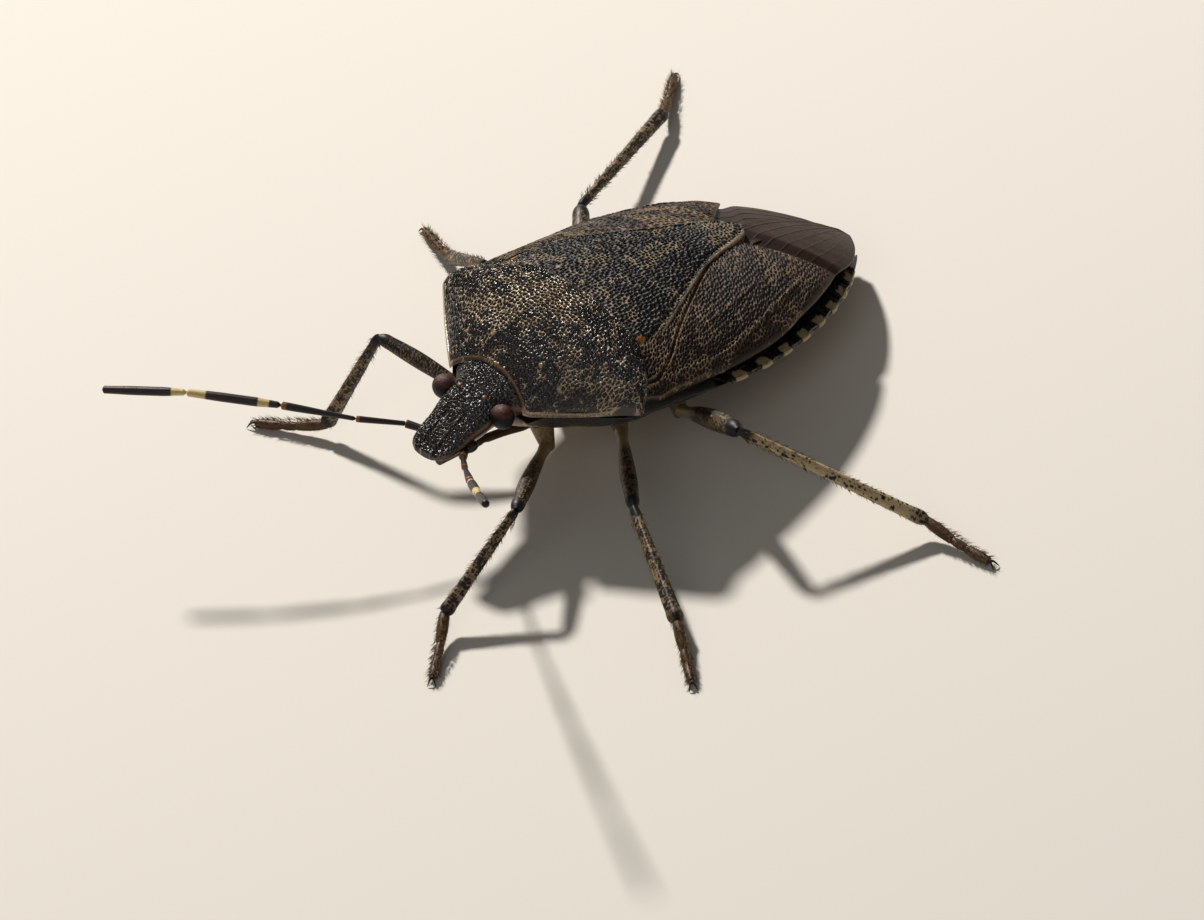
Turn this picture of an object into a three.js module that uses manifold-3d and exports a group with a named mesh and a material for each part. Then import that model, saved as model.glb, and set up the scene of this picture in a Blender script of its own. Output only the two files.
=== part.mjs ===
// A shield bug of the brown marmorated kind, standing in mid stride, at life size in millimetres.
// +Z is up, -Y is the way the bug faces and +X is its left side. The origin is on the floor, under the
// middle of the bug's box.
import * as THREE from 'three';
import { mergeVertices } from 'three/addons/utils/BufferGeometryUtils.js';
import Module from 'manifold-3d';

const wasm = await Module();
wasm.setup();

// Driving dimensions of the stance, measured from the point between the shoulders on the floor.
const SHOULDER_HEIGHT = 3.21;
const NOSE_UP = THREE.MathUtils.degToRad(9.6);
const LEAN = THREE.MathUtils.degToRad(1.9);
const HEAD_TURN = THREE.MathUtils.degToRad(6);

// Clearances and thicknesses.
const GAP = 0.25;
const WING_THICKNESS = 0.5;
const WING_RIM_THICKNESS = 0.28;
const SHIELD_THICKNESS = 0.55;
const LINING = WING_THICKNESS + 0.3;
const WELD = 1e-4;

// The trunk's section at each place along it: half its width, and the heights of its side edge, its back
// and its keel. Places run from the front of the pronotum to the tip of the folded wings.
const HALF_WIDTH = [
  [-2.4, 1.4], [-1.5, 2.5], [-0.5, 3.85], [0.3, 3.78], [2, 3.75],
  [4, 3.68], [6, 3.2], [8, 2.3], [9.3, 1.25], [10.1, 0.35],
];
const EDGE_HEIGHT = [
  [-2.4, -0.3], [-1.5, -0.05], [-0.5, 0.21], [0.3, 0.08], [2, -0.09],
  [4, -0.17], [6, -0.24], [8, -0.29], [9.3, -0.45], [10.1, -0.7],
];
const EDGE_RISE = [[-2.4, 0.05], [-0.5, 0.05], [1, 0.25], [8, 0.25], [10.1, 0.1]];
const BACK_HEIGHT = [
  [-2.4, 0.1], [-1.5, 1.06], [0.3, 1.7], [3, 1.55], [6.2, 1.13], [8, 0.5], [9.3, -0.1], [10.1, -0.55],
];
const KEEL_HEIGHT = [[-2.4, -1.2], [-1.2, -1.5], [1, -1.8], [4, -1.9], [6, -1.7], [8, -1.3], [9, -1.1]];
const BACK_OUTER = 2.45;
const BACK_INNER = [[-2.4, 0.61], [-1, 0.66], [0.5, 0.77], [3, 0.74], [5.5, 0.65], [8, 0.58], [10.1, 0.58]];
const BELLY_ROUND = { outer: 1.8, inner: 0.9 };

// Plans of the plates that cover the trunk.
const PRONOTUM = {
  frontCorner: [1.4, -2.38], shoulder: [3.87, -0.5], rearCorner: [2.35, 0.7],
  sideBow: [2.6, -1.56], rearBow: [3.5, 0.2], frontMiddle: -2.12, rearMiddle: 0.55, depth: 0.3,
};
const SHIELD_HALF_WIDTH = [
  [0.8, 2.7], [1.4, 2.48], [2, 2.2], [3, 1.68], [3.9, 1.2],
  [4.7, 0.89], [5.5, 0.64], [5.95, 0.44], [6.2, 0.22], [6.3, 0],
];
const SHIELD = { front: 0.8, apex: 6.3, frontBow: 0.15, raise: 0.08 };
const COSTAL_MARGIN = [
  [0.1, 3.73], [1.3, 3.71], [2.5, 3.7], [3.3, 3.67], [4, 3.6],
  [4.7, 3.45], [5.5, 3.18], [6.4, 2.84], [7.2, 2.45], [7.6, 2.2],
];
const WING = { innerFront: 1.15, innerRear: 5.6, outerFront: 0.1, outerRear: 7.6 };
const MEMBRANE = {
  rootInner: [0.22, 6.62], rootOuter: [1.97, 7.92], rootBow: 0.6, tip: [0.15, 10.02], lap: [-0.95, 8.6],
  bulge: [1.75, 9.2], veins: 6, veinHeight: 0.1, thickness: 0.5, rimThickness: 0.22,
};
const CONNEXIVUM = { front: 2.85, rear: 8.75, width: 0.7, drop: 0.2, rim: 0.35, segments: 5, scallop: 0.05 };

// Head, in its own frame at the neck.
const NECK = [0, -2.2, -0.2];
const HEAD_HALF_WIDTH = [
  [-2.46, 0.36], [-2.34, 0.55], [-2, 0.7], [-1.5, 0.74], [-1, 0.84], [-0.67, 0.85], [-0.36, 0.84],
];
const HEAD_TOP = [[-2.46, -0.8], [-2, -0.53], [-1.5, -0.24], [-1, 0.06], [-0.67, 0.24], [-0.2, 0.4]];
const HEAD_EDGE = [[-2.46, -0.86], [-2, -0.7], [-1.5, -0.5], [-1, -0.33], [-0.67, -0.22], [-0.2, -0.15]];
const HEAD_UNDER = [[-2.46, -1.0], [-2, -1.12], [-1.5, -1.15], [-1, -1.08], [-0.2, -0.95]];
const HEAD_LENGTH = { front: -2.46, rear: -0.36 };
const HEAD_ROUND = { outer: 3, inner: 0.7 };
const THROAT_ROUND = { outer: 2, inner: 0.8 };
const HEAD_SIDE = 0.15;
const CLYPEUS = { halfWidth: 0.26, groove: 0.06, softness: 0.07, from: -1.1 };
const EYE = { place: [1.06, -0.68, -0.14], radii: [0.34, 0.3, 0.34] };
const OCELLUS = { place: [0.42, -0.72, 0.17], radius: 0.12 };
const TUBERCLE = { place: [0.74, -1.52, -0.84], radius: 0.25 };

// Limbs: thickness and joints. Every joint is a place in the stance, with the floor at zero.
const ANTENNA_RADIUS = 0.25;
const ANTENNA_JOINTS = {
  left: [[2.02, -4.9, 3.46], [3.56, -5.91, 4.47], [5.46, -7.1, 5.78], [7.14, -8.12, 6.98]],
  right: [[-1.81, -5.26, 3.32], [-3.22, -6.48, 3.81], [-5.08, -7.99, 4.23], [-6.76, -9.37, 4.33]],
};
const COXA = { root: [0.9, -0.15, 0.75], radius: 0.4, tipRadius: 0.26, neck: 0.1 };
const FEMUR_RADII = [0.26, 0.28, 0.33, 0.34, 0.3, 0.28];
const TIBIA_RADII = [0.24, 0.25, 0.25, 0.25, 0.27];
const TARSUS_RADII = [0.25, 0.22, 0.24, 0.21, 0.24];
const TARSUS = { soleRise: 0.2 };
const CLAW = { length: 0.42, spread: 0.45, radius: 0.1, tip: 0.03, rise: 0.14 };
const LEGS = {
  front: {
    hip: [1.05, -1.2, -1.85],
    left: { knee: [3.17, -4.39, 2.34], ankle: [3.04, -6.99, 0.59], toe: [4.27, -8.56] },
    right: { knee: [-4.12, -2.49, 3.11], ankle: [-5.26, -3.77, 0.45], toe: [-7.08, -4.7] },
  },
  middle: {
    hip: [1.4, 1, -2.1],
    left: { knee: [4.67, -1.84, 1.61], ankle: [7.9, -3.44, 0.61], toe: [9.5, -4.48] },
    right: { knee: [-5.1, 1.9, 2.3], ankle: [-7.93, 2.9, 0.5], toe: [-9.71, 3.5] },
  },
  hind: {
    hip: [1.85, 2.6, -2],
    left: { knee: [5.99, 0.81, 3.12], ankle: [9.76, 3.4, 0.5], toe: [11.87, 3.57] },
    right: { knee: [-5.91, 5.84, 1.41], ankle: [-8.15, 10.65, 0.5], toe: [-9.5, 12.2] },
  },
};
const SIDES = { left: 1, right: -1 };
const ROSTRUM = {
  path: [
    [0.17, -4.15, -1.78], [0.08, -3.1, -1.82], [0, -1.9, -1.9],
    [0, -0.6, -2.16], [0, 0.6, -2.31], [0, 1.7, -2.42],
  ],
  radius: 0.25, tip: 0.12,
};

// Finishes, as seen on the bug.
const finish = (colour, roughness, metalness = 0) =>
  new THREE.MeshStandardMaterial({ color: colour, roughness, metalness });
const FINISH = {
  cuticle: finish(0x33291f, 0.45),
  shield: finish(0x3d3226, 0.45),
  corium: finish(0x3a2c20, 0.5),
  membrane: finish(0x4a3121, 0.3),
  belly: finish(0x9a8560, 0.5),
  edge: finish(0x8a7350, 0.5),
  eye: finish(0x3a1714, 0.3),
  antenna: finish(0x2a1c14, 0.45),
  femur: finish(0x3b2e22, 0.45),
  tibia: finish(0xa08055, 0.5),
  tarsus: finish(0x7d5730, 0.5),
};

// A smooth function through stations, each a place and the value there.
const through = (stations) => {
  const places = stations.map(([place]) => place);
  const values = stations.map(([, value]) => value);
  const spline = new THREE.CubicInterpolant(places, values, 1);
  return (place) => spline.evaluate(place)[0];
};

const halfWidth = through(HALF_WIDTH);
const edgeHeight = through(EDGE_HEIGHT);
const edgeRise = through(EDGE_RISE);
const backHeight = through(BACK_HEIGHT);
const backInner = through(BACK_INNER);
const keelHeight = through(KEEL_HEIGHT);
const shieldHalfWidth = through(SHIELD_HALF_WIDTH);
const costalMargin = through(COSTAL_MARGIN);

// The rounded fall from the middle of a section to its side, 1 in the middle and 0 at the side.
const arch = (share, { outer, inner }) => (1 - Math.min(1, Math.abs(share)) ** outer) ** inner;

// Height of the trunk's back and of its belly, in the trunk's frame.
const back = (x, y) => {
  const rim = edgeHeight(y) + edgeRise(y);
  const fall = arch(x / halfWidth(y), { outer: BACK_OUTER, inner: backInner(y) });
  return rim + (backHeight(y) - rim) * fall;
};
const belly = (x, y) => {
  const rim = edgeHeight(y);
  return rim + (keelHeight(y) - rim) * arch(x / halfWidth(y), BELLY_ROUND);
};

const mix = (from, to, share) => from + (to - from) * share;

// Joins the points of a surface, drops triangles that closed up, and turns the faces outwards.
const closed = (positions, triangles) => {
  const raw = new THREE.BufferGeometry();
  raw.setAttribute('position', new THREE.Float32BufferAttribute(positions, 3));
  raw.setIndex(triangles);
  const merged = mergeVertices(raw, WELD);
  const index = [];
  let volume = 0;
  const corner = [new THREE.Vector3(), new THREE.Vector3(), new THREE.Vector3()];
  for (let first = 0; first < merged.index.count; first += 3) {
    const face = [0, 1, 2].map((step) => merged.index.getX(first + step));
    if (new Set(face).size === 3) {
      index.push(...face);
      face.forEach((vertex, step) => corner[step].fromBufferAttribute(merged.attributes.position, vertex));
      volume += corner[0].dot(corner[1].cross(corner[2]));
    }
  }
  if (volume < 0) {
    index.reverse();
  }
  merged.setIndex(index);
  return merged;
};

// A closed plate between an upper and a lower face over one plan. The plan's place is a function of two
// shares from 0 to 1, across and along, and both faces are split alike.
const plate = ({ across, along, place, upper, lower }) => {
  const positions = [];
  for (const face of [upper, lower]) {
    for (let row = 0; row <= along; row += 1) {
      for (let column = 0; column <= across; column += 1) {
        const [x, y] = place(column / across, row / along);
        positions.push(x, y, face(x, y, column / across, row / along));
      }
    }
  }
  const width = across + 1;
  const under = width * (along + 1);
  const triangles = [];
  const quad = (a, b, c, d) => triangles.push(a, b, c, a, c, d);
  for (let row = 0; row < along; row += 1) {
    for (let column = 0; column < across; column += 1) {
      const a = row * width + column;
      quad(a, a + 1, a + width + 1, a + width);
      quad(under + a + width, under + a + width + 1, under + a + 1, under + a);
    }
    const near = row * width;
    quad(near, near + width, under + near + width, under + near);
    const far = near + across;
    quad(far, under + far, under + far + width, far + width);
  }
  for (let column = 0; column < across; column += 1) {
    quad(column, under + column, under + column + 1, column + 1);
    const last = along * width + column;
    quad(last, last + 1, under + last + 1, under + last);
  }
  return closed(positions, triangles);
};

// A closed round limb along a curve, whose radius is a function of the share of the way along it.
const limb = (curve, radiusAt, sides, steps) => {
  const frames = curve.computeFrenetFrames(steps, false);
  const positions = [];
  const triangles = [];
  for (let step = 0; step <= steps; step += 1) {
    const centre = curve.getPointAt(step / steps);
    for (let side = 0; side < sides; side += 1) {
      const turn = (2 * Math.PI * side) / sides;
      const point = centre.clone()
        .addScaledVector(frames.normals[step], Math.cos(turn) * radiusAt(step / steps))
        .addScaledVector(frames.binormals[step], Math.sin(turn) * radiusAt(step / steps));
      positions.push(...point);
    }
  }
  for (let step = 0; step < steps; step += 1) {
    for (let side = 0; side < sides; side += 1) {
      const a = step * sides + side;
      const b = step * sides + ((side + 1) % sides);
      triangles.push(a, b, b + sides, a, b + sides, a + sides);
    }
  }
  const last = steps * sides;
  for (let side = 1; side < sides - 1; side += 1) {
    triangles.push(0, side + 1, side);
    triangles.push(last, last + side, last + side + 1);
  }
  return closed(positions, triangles);
};

// Radius along a limb from radii given at even steps, with both ends rounded off.
const rounded = (radii, length, ends = [1, 1]) => {
  const along = through(radii.map((radius, index) => [index / (radii.length - 1), radius]));
  return (share) => {
    const radius = along(share);
    const nearest = Math.min(
      ends[0] ? (share * length) / radius : 1,
      ends[1] ? ((1 - share) * length) / radius : 1,
    );
    const roundness = Math.min(1, nearest + 0.3);
    return radius * Math.sqrt(1 - (1 - roundness) ** 2);
  };
};

const vector = (values) => new THREE.Vector3(...values);
const towards = (from, to, distance) =>
  from.clone().addScaledVector(to.clone().sub(from).normalize(), distance);

// How far past a joint the next link of a limb starts, so that it clears the blunt end of the link before.
const BLUNT = 0.75;
const SMALL = 1e-3;
const standOff = (before, joint, after, radiusBefore, radiusAfter) => {
  const bend = joint.clone().sub(before).angleTo(after.clone().sub(joint));
  const forward = Math.max(SMALL, Math.cos(bend));
  const sideways = Math.max(SMALL, Math.sin(bend));
  const straight = (GAP + BLUNT * radiusAfter * sideways) / forward;
  const aside = (BLUNT * (radiusBefore + radiusAfter * forward) + GAP) / sideways;
  return Math.min(straight, aside);
};

const toSolid = (geometry) => new wasm.Manifold(new wasm.Mesh({
  numProp: 3,
  vertProperties: geometry.attributes.position.array,
  triVerts: new Uint32Array(geometry.index.array),
}));

// The largest closed surface of a solid, as a geometry.
const toGeometry = (solid) => {
  const pieces = solid.decompose().sort((a, b) => b.volume() - a.volume());
  const mesh = pieces[0].getMesh();
  return closed([...mesh.vertProperties], [...mesh.triVerts]);
};

const ball = (radii, place, around = 12, up = 8) => {
  const geometry = new THREE.SphereGeometry(1, around, up);
  geometry.scale(...radii).translate(...place);
  return closed([...geometry.attributes.position.array], [...geometry.index.array]);
};

const add = (group, name, geometry, material) => {
  const mesh = new THREE.Mesh(geometry, material.clone());
  mesh.name = name;
  group.add(mesh);
};

const mirrored = ([x, y, z], side) => [x * side, y, z];

// The pronotum: a saddle from the neck to the shoulders, its side edges sharp.
const makePronotum = () => {
  const { frontCorner, sideBow, shoulder, rearBow, rearCorner, frontMiddle, rearMiddle, depth } = PRONOTUM;
  const outline = new THREE.Path()
    .moveTo(...frontCorner)
    .quadraticCurveTo(...sideBow, ...shoulder)
    .quadraticCurveTo(...rearBow, ...rearCorner);
  return plate({
    across: 20,
    along: 14,
    place: (across, along) => {
      const side = 2 * across - 1;
      const edge = outline.getPoint(along);
      const middle = mix(frontMiddle, rearMiddle, along);
      return [side * edge.x, mix(middle, edge.y, side ** 2)];
    },
    upper: (x, y) => back(x, y),
    lower: (x, y) => edgeHeight(y) - depth,
  });
};

// The scutellum: a long shield with a rounded tongue, over the roots of the wings.
const makeShield = () => plate({
  across: 12,
  along: 14,
  place: (across, along) => {
    const side = 2 * across - 1;
    const y = mix(SHIELD.front, SHIELD.apex, along ** 0.85);
    return [side * shieldHalfWidth(y), y + SHIELD.frontBow * side ** 2 * (1 - along)];
  },
  upper: (x, y, across) => back(x, y) + SHIELD.raise * (1 - (2 * across - 1) ** 2),
  lower: (x, y) => back(x, y) - SHIELD_THICKNESS,
});

// A low ridge or groove across a wing, as a share of its width.
const ridge = (share, at, width, height) => height * Math.exp(-(((share - at) / width) ** 2));

// The leathery part of a fore wing: clavus and corium, with the claval seam sunk between them.
const makeWing = (side) => {
  const relief = (across) => ridge(across, 0.15, 0.05, -0.08)
    + ridge(across, 0.25, 0.05, 0.07) + ridge(across, 0.75, 0.06, 0.06);
  return plate({
    across: 14,
    along: 16,
    place: (across, along) => {
      const innerY = mix(WING.innerFront, WING.innerRear, along);
      const outerY = mix(WING.outerFront, WING.outerRear, along);
      const innerX = shieldHalfWidth(innerY) + GAP * 1.1;
      return [side * mix(innerX, costalMargin(outerY), across), mix(innerY, outerY, across)];
    },
    upper: (x, y, across) => back(x, y) + relief(across),
    lower: (x, y, across) => back(x, y) - mix(WING_THICKNESS, WING_RIM_THICKNESS, across ** 4),
  });
};

// The thin rear part of a fore wing, with its veins raised. The left one laps over the right one, so that
// only a strip of the right one is seen.
const makeMembrane = (side) => {
  const { rootInner, rootOuter, rootBow, tip, lap, bulge, veins, veinHeight, thickness } = MEMBRANE;
  const shift = side > 0 ? 0 : -GAP * 1.5;
  const seam = new THREE.QuadraticBezierCurve(
    new THREE.Vector2(rootInner[0] + shift, rootInner[1] + (side > 0 ? 0 : 0.2)),
    new THREE.Vector2(lap[0] + shift, lap[1]),
    new THREE.Vector2(-tip[0] + shift, tip[1] - (side > 0 ? 0 : 0.05)),
  );
  const rim = new THREE.QuadraticBezierCurve(
    new THREE.Vector2(side * rootOuter[0], rootOuter[1]),
    new THREE.Vector2(side * bulge[0], bulge[1]),
    new THREE.Vector2(side > 0 ? tip[0] : -0.6, side > 0 ? tip[1] : 9.9),
  );
  return plate({
    across: 18,
    along: 8,
    place: (across, along) => {
      const inner = seam.getPoint(along);
      const outer = rim.getPoint(along);
      const bow = rootBow * 4 * across * (1 - across) * (1 - along) ** 2;
      return [mix(inner.x, outer.x, across), mix(inner.y, outer.y, across) - bow];
    },
    upper: (x, y, across) => {
      const wave = Math.max(0, Math.cos(2 * Math.PI * veins * (across - 0.5 / veins)));
      return back(x, y) + veinHeight * (wave ** 2 - 1);
    },
    lower: (x, y) => {
      const share = Math.abs(x / halfWidth(y));
      return back(x, y) - veinHeight - mix(thickness, MEMBRANE.rimThickness, share ** 3);
    },
  });
};

// The banded side edge of the abdomen that shows beside the folded wings.
const makeConnexivum = (side) => {
  const { front, rear, width, drop, rim, segments, scallop } = CONNEXIVUM;
  return plate({
    across: 3,
    along: 25,
    place: (across, along) => {
      const y = mix(front, rear, along);
      const notch = scallop * Math.abs(Math.cos(Math.PI * segments * along));
      return [side * (halfWidth(y) - mix(width, notch, across)), y];
    },
    upper: (x, y) => edgeHeight(y) - drop,
    lower: (x, y) => Math.min(edgeHeight(y) - drop - rim, belly(x, y)),
  });
};

// A block of the trunk under its plates: between two places along the trunk, out to a share of its width,
// up to a roof and down to the belly.
const makeBlock = ({ front, rear, reach, roof, across, along, groove = () => 0 }) => plate({
  across,
  along,
  place: (share, length) => {
    const y = mix(front, rear, length);
    return [(2 * share - 1) * reach(y), y];
  },
  upper: (x, y) => roof(x, y),
  lower: (x, y) => belly(x, y) + groove(y),
});

const ABDOMEN = { front: 2.85, rear: 9.2, rings: 6, groove: 0.07, inset: CONNEXIVUM.width + GAP, tip: 0.3 };
const METATHORAX = { front: 0.95, rear: 2.6, reach: 0.84 };
const PROTHORAX = { front: -2.1, rear: 0.7, reach: 0.78, roof: PRONOTUM.depth + GAP + 0.1 };

const coxaCurve = (pair, side) => {
  const [x, y, z] = mirrored(pair.hip, side);
  const [inwards, backwards, rise] = COXA.root;
  return new THREE.LineCurve3(vector([x * inwards, y + backwards, z + rise]), vector([x, y, z]));
};

const coxaRadii = (grow) => [COXA.radius + grow, COXA.radius * 0.95 + grow, COXA.tipRadius + grow];

const makeCoxa = (pair, side) => {
  const curve = coxaCurve(pair, side);
  return limb(curve, rounded(coxaRadii(0), curve.getLength(), [0, 1]), 10, 5);
};

// The socket of a leg is its first joint grown by the gap, and deeper by the gap.
const makeSocket = (pair, side) => {
  const { v1: root, v2: end } = coxaCurve(pair, side);
  const curve = new THREE.LineCurve3(towards(root, end, -GAP), end);
  return limb(curve, rounded(coxaRadii(GAP), curve.getLength(), [0, 0]), 10, 5);
};

// Cuts the sockets of the given pairs of legs out of a block of the thorax.
const withSockets = (geometry, pairs) => {
  let solid = toSolid(geometry);
  for (const pair of pairs) {
    for (const side of Object.values(SIDES)) {
      solid = solid.subtract(toSolid(makeSocket(pair, side)));
    }
  }
  return toGeometry(solid);
};

const makeHead = () => {
  const half = through(HEAD_HALF_WIDTH);
  const top = through(HEAD_TOP);
  const edge = through(HEAD_EDGE);
  const under = through(HEAD_UNDER);
  const { halfWidth: clypeusHalf, groove, softness, from } = CLYPEUS;
  const skull = plate({
    across: 18,
    along: 16,
    place: (across, along) => {
      const y = mix(HEAD_LENGTH.front, HEAD_LENGTH.rear, along ** 1.15);
      return [(2 * across - 1) * half(y), y];
    },
    upper: (x, y) => {
      const seam = Math.exp(-(((Math.abs(x) - clypeusHalf) / softness) ** 2));
      const depth = groove * seam * THREE.MathUtils.smoothstep(from - y, 0, 0.5);
      return mix(edge(y), top(y), arch(x / half(y), HEAD_ROUND)) - depth;
    },
    lower: (x, y) => mix(edge(y) - HEAD_SIDE, under(y), arch(x / half(y), THROAT_ROUND)),
  });
  let solid = toSolid(skull);
  for (const side of Object.values(SIDES)) {
    const tubercle = [TUBERCLE.radius, TUBERCLE.radius * 1.3, TUBERCLE.radius];
    solid = solid.add(toSolid(ball(tubercle, mirrored(TUBERCLE.place, side), 10, 8)));
    const ocellus = [OCELLUS.radius, OCELLUS.radius, OCELLUS.radius];
    solid = solid.add(toSolid(ball(ocellus, mirrored(OCELLUS.place, side), 8, 6)));
  }
  return { geometry: toGeometry(solid), half };
};

// An eye is a ball cut off flat where it meets the side of the head.
const makeEye = (side, headHalf) => {
  const { place, radii } = EYE;
  const inner = headHalf(place[1]) + GAP;
  const cut = new THREE.BoxGeometry(2, 2, 2).translate(side * (inner - 1), place[1], place[2]);
  const block = closed([...cut.attributes.position.array], [...cut.index.array]);
  return toGeometry(toSolid(ball(radii, mirrored(place, side), 14, 10)).subtract(toSolid(block)));
};

const makeAntenna = (socket, joints) => {
  const places = joints.map(vector);
  const root = towards(socket, places[0], TUBERCLE.radius * 1.3 + GAP);
  const curve = new THREE.CatmullRomCurve3([root, ...places], false, 'centripetal');
  const swell = (share) => ANTENNA_RADIUS * (1 + 0.12 * THREE.MathUtils.smoothstep(share, 0.45, 0.85));
  const taper = (share) => Math.sqrt(1 - 0.85 * THREE.MathUtils.smoothstep(share, 0.94, 1));
  return limb(curve, (share) => swell(share) * taper(share), 8, 24);
};

const makeRostrum = () => {
  const curve = new THREE.CatmullRomCurve3(ROSTRUM.path.map(vector));
  const radiusAt = (share) => mix(ROSTRUM.radius, ROSTRUM.tip, THREE.MathUtils.smoothstep(share, 0.85, 1));
  return limb(curve, radiusAt, 8, 14);
};

const makeFemur = (root, hip, knee) => {
  const clearance = standOff(root, hip, knee, COXA.radius, FEMUR_RADII[0]) + COXA.neck;
  const curve = new THREE.LineCurve3(towards(hip, knee, clearance), knee);
  return limb(curve, rounded(FEMUR_RADII, curve.getLength()), 10, 9);
};

const makeTibia = (hip, knee, ankle) => {
  const clearance = standOff(hip, knee, ankle, FEMUR_RADII.at(-1), TIBIA_RADII[0]);
  const curve = new THREE.LineCurve3(towards(knee, ankle, clearance), ankle);
  return limb(curve, rounded(TIBIA_RADII, curve.getLength()), 8, 8);
};

// A foot: three joints that run from the ankle down to a small flat sole, and two claws.
const makeTarsus = (knee, ankle, toe) => {
  const end = vector([...toe, TARSUS.soleRise]);
  const clearance = standOff(knee, ankle, end, TIBIA_RADII.at(-1), TARSUS_RADII[0]);
  const start = towards(ankle, end, clearance);
  const middle = start.clone().lerp(end, 0.5);
  middle.z = mix(TARSUS.soleRise, start.z, 0.35);
  const curve = new THREE.CatmullRomCurve3([start, middle, end]);
  let solid = toSolid(limb(curve, rounded(TARSUS_RADII, curve.getLength()), 8, 10));
  const ahead = end.clone().sub(middle).setZ(0).normalize();
  const aside = new THREE.Vector3(-ahead.y, ahead.x, 0);
  for (const side of Object.values(SIDES)) {
    const way = ahead.clone().addScaledVector(aside, side * CLAW.spread).normalize();
    const root = end.clone().addScaledVector(way, -0.05);
    const peak = end.clone().addScaledVector(way, CLAW.length * 0.55).setZ(CLAW.rise + 0.08);
    const tip = end.clone().addScaledVector(way, CLAW.length).setZ(CLAW.tip * 2);
    const claw = limb(
      new THREE.QuadraticBezierCurve3(root, peak, tip),
      (share) => mix(CLAW.radius, CLAW.tip, share),
      6,
      4,
    );
    solid = solid.add(toSolid(claw));
  }
  const floor = new THREE.BoxGeometry(8, 8, 2).translate(end.x, end.y, -1);
  const below = closed([...floor.attributes.position.array], [...floor.index.array]);
  return toGeometry(solid.subtract(toSolid(below)));
};

const stance = new THREE.Group();
const trunk = new THREE.Group();
trunk.position.z = SHOULDER_HEIGHT;
trunk.rotation.set(-NOSE_UP, LEAN, 0);
stance.add(trunk);
const head = new THREE.Group();
head.position.set(...NECK);
head.rotation.z = HEAD_TURN;
trunk.add(head);

add(trunk, 'pronotum', makePronotum(), FINISH.cuticle);
add(trunk, 'scutellum', makeShield(), FINISH.shield);
add(trunk, 'prothorax', withSockets(makeBlock({
  front: PROTHORAX.front,
  rear: PROTHORAX.rear,
  reach: (y) => halfWidth(y) * PROTHORAX.reach,
  roof: (x, y) => edgeHeight(y) - PROTHORAX.roof,
  across: 12,
  along: 8,
}), [LEGS.front, LEGS.middle]), FINISH.belly);
add(trunk, 'metathorax', withSockets(makeBlock({
  front: METATHORAX.front,
  rear: METATHORAX.rear,
  reach: (y) => halfWidth(y) * METATHORAX.reach,
  roof: (x, y) => back(x, y) - LINING,
  across: 12,
  along: 5,
}), [LEGS.middle, LEGS.hind]), FINISH.belly);
add(trunk, 'abdomen', withSockets(makeBlock({
  front: ABDOMEN.front,
  rear: ABDOMEN.rear,
  reach: (y) => Math.max(ABDOMEN.tip, halfWidth(y) - ABDOMEN.inset),
  roof: (x, y) => back(x, y) - LINING,
  across: 14,
  along: 24,
  groove: (y) => {
    const turn = ((y - ABDOMEN.front) / (ABDOMEN.rear - ABDOMEN.front)) * ABDOMEN.rings;
    return ABDOMEN.groove * Math.cos(Math.PI * turn) ** 8;
  },
}), [LEGS.hind]), FINISH.belly);
add(trunk, 'rostrum', makeRostrum(), FINISH.belly);

const { geometry: headShape, half: headHalf } = makeHead();
add(head, 'head', headShape, FINISH.cuticle);

stance.updateMatrixWorld(true);
for (const [name, side] of Object.entries(SIDES)) {
  add(head, `eye_${name}`, makeEye(side, headHalf), FINISH.eye);
  const socket = vector(mirrored(TUBERCLE.place, side)).applyMatrix4(head.matrixWorld);
  add(stance, `antenna_${name}`, makeAntenna(socket, ANTENNA_JOINTS[name]), FINISH.antenna);
  add(trunk, `wing_${name}`, makeWing(side), FINISH.corium);
  add(trunk, `membrane_${name}`, makeMembrane(side), FINISH.membrane);
  add(trunk, `connexivum_${name}`, makeConnexivum(side), FINISH.edge);
  for (const [place, pair] of Object.entries(LEGS)) {
    const { v1: root, v2: hip } = coxaCurve(pair, side);
    root.applyMatrix4(trunk.matrixWorld);
    hip.applyMatrix4(trunk.matrixWorld);
    const knee = vector(pair[name].knee);
    const ankle = vector(pair[name].ankle);
    add(trunk, `coxa_${place}_${name}`, makeCoxa(pair, side), FINISH.belly);
    add(stance, `femur_${place}_${name}`, makeFemur(root, hip, knee), FINISH.femur);
    add(stance, `tibia_${place}_${name}`, makeTibia(hip, knee, ankle), FINISH.tibia);
    add(stance, `tarsus_${place}_${name}`, makeTarsus(knee, ankle, pair[name].toe), FINISH.tarsus);
  }
}

// The stance moves so that the origin lies under the middle of the bug's box.
const bug = new THREE.Group();
bug.add(stance);
bug.updateMatrixWorld(true);
const middle = new THREE.Box3().setFromObject(bug, true).getCenter(new THREE.Vector3());
stance.position.set(-middle.x, -middle.y, 0);

export default bug;
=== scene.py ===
"""Looks of a life-size shield bug of the brown marmorated kind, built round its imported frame.

Lengths in this file are millimetres and become metres when a mesh is made. The trunk has its own frame,
with the point between the shoulders as its origin, +Y towards the wing tips, +X to the bug's left and +Z up.
Random patterns repeat from run to run: the last number of network, patches and cells is each one's seed.
"""

import math

import bpy
import numpy as np
from bpy.props import FloatProperty, FloatVectorProperty, PointerProperty
from mathutils import Matrix, Vector


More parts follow.
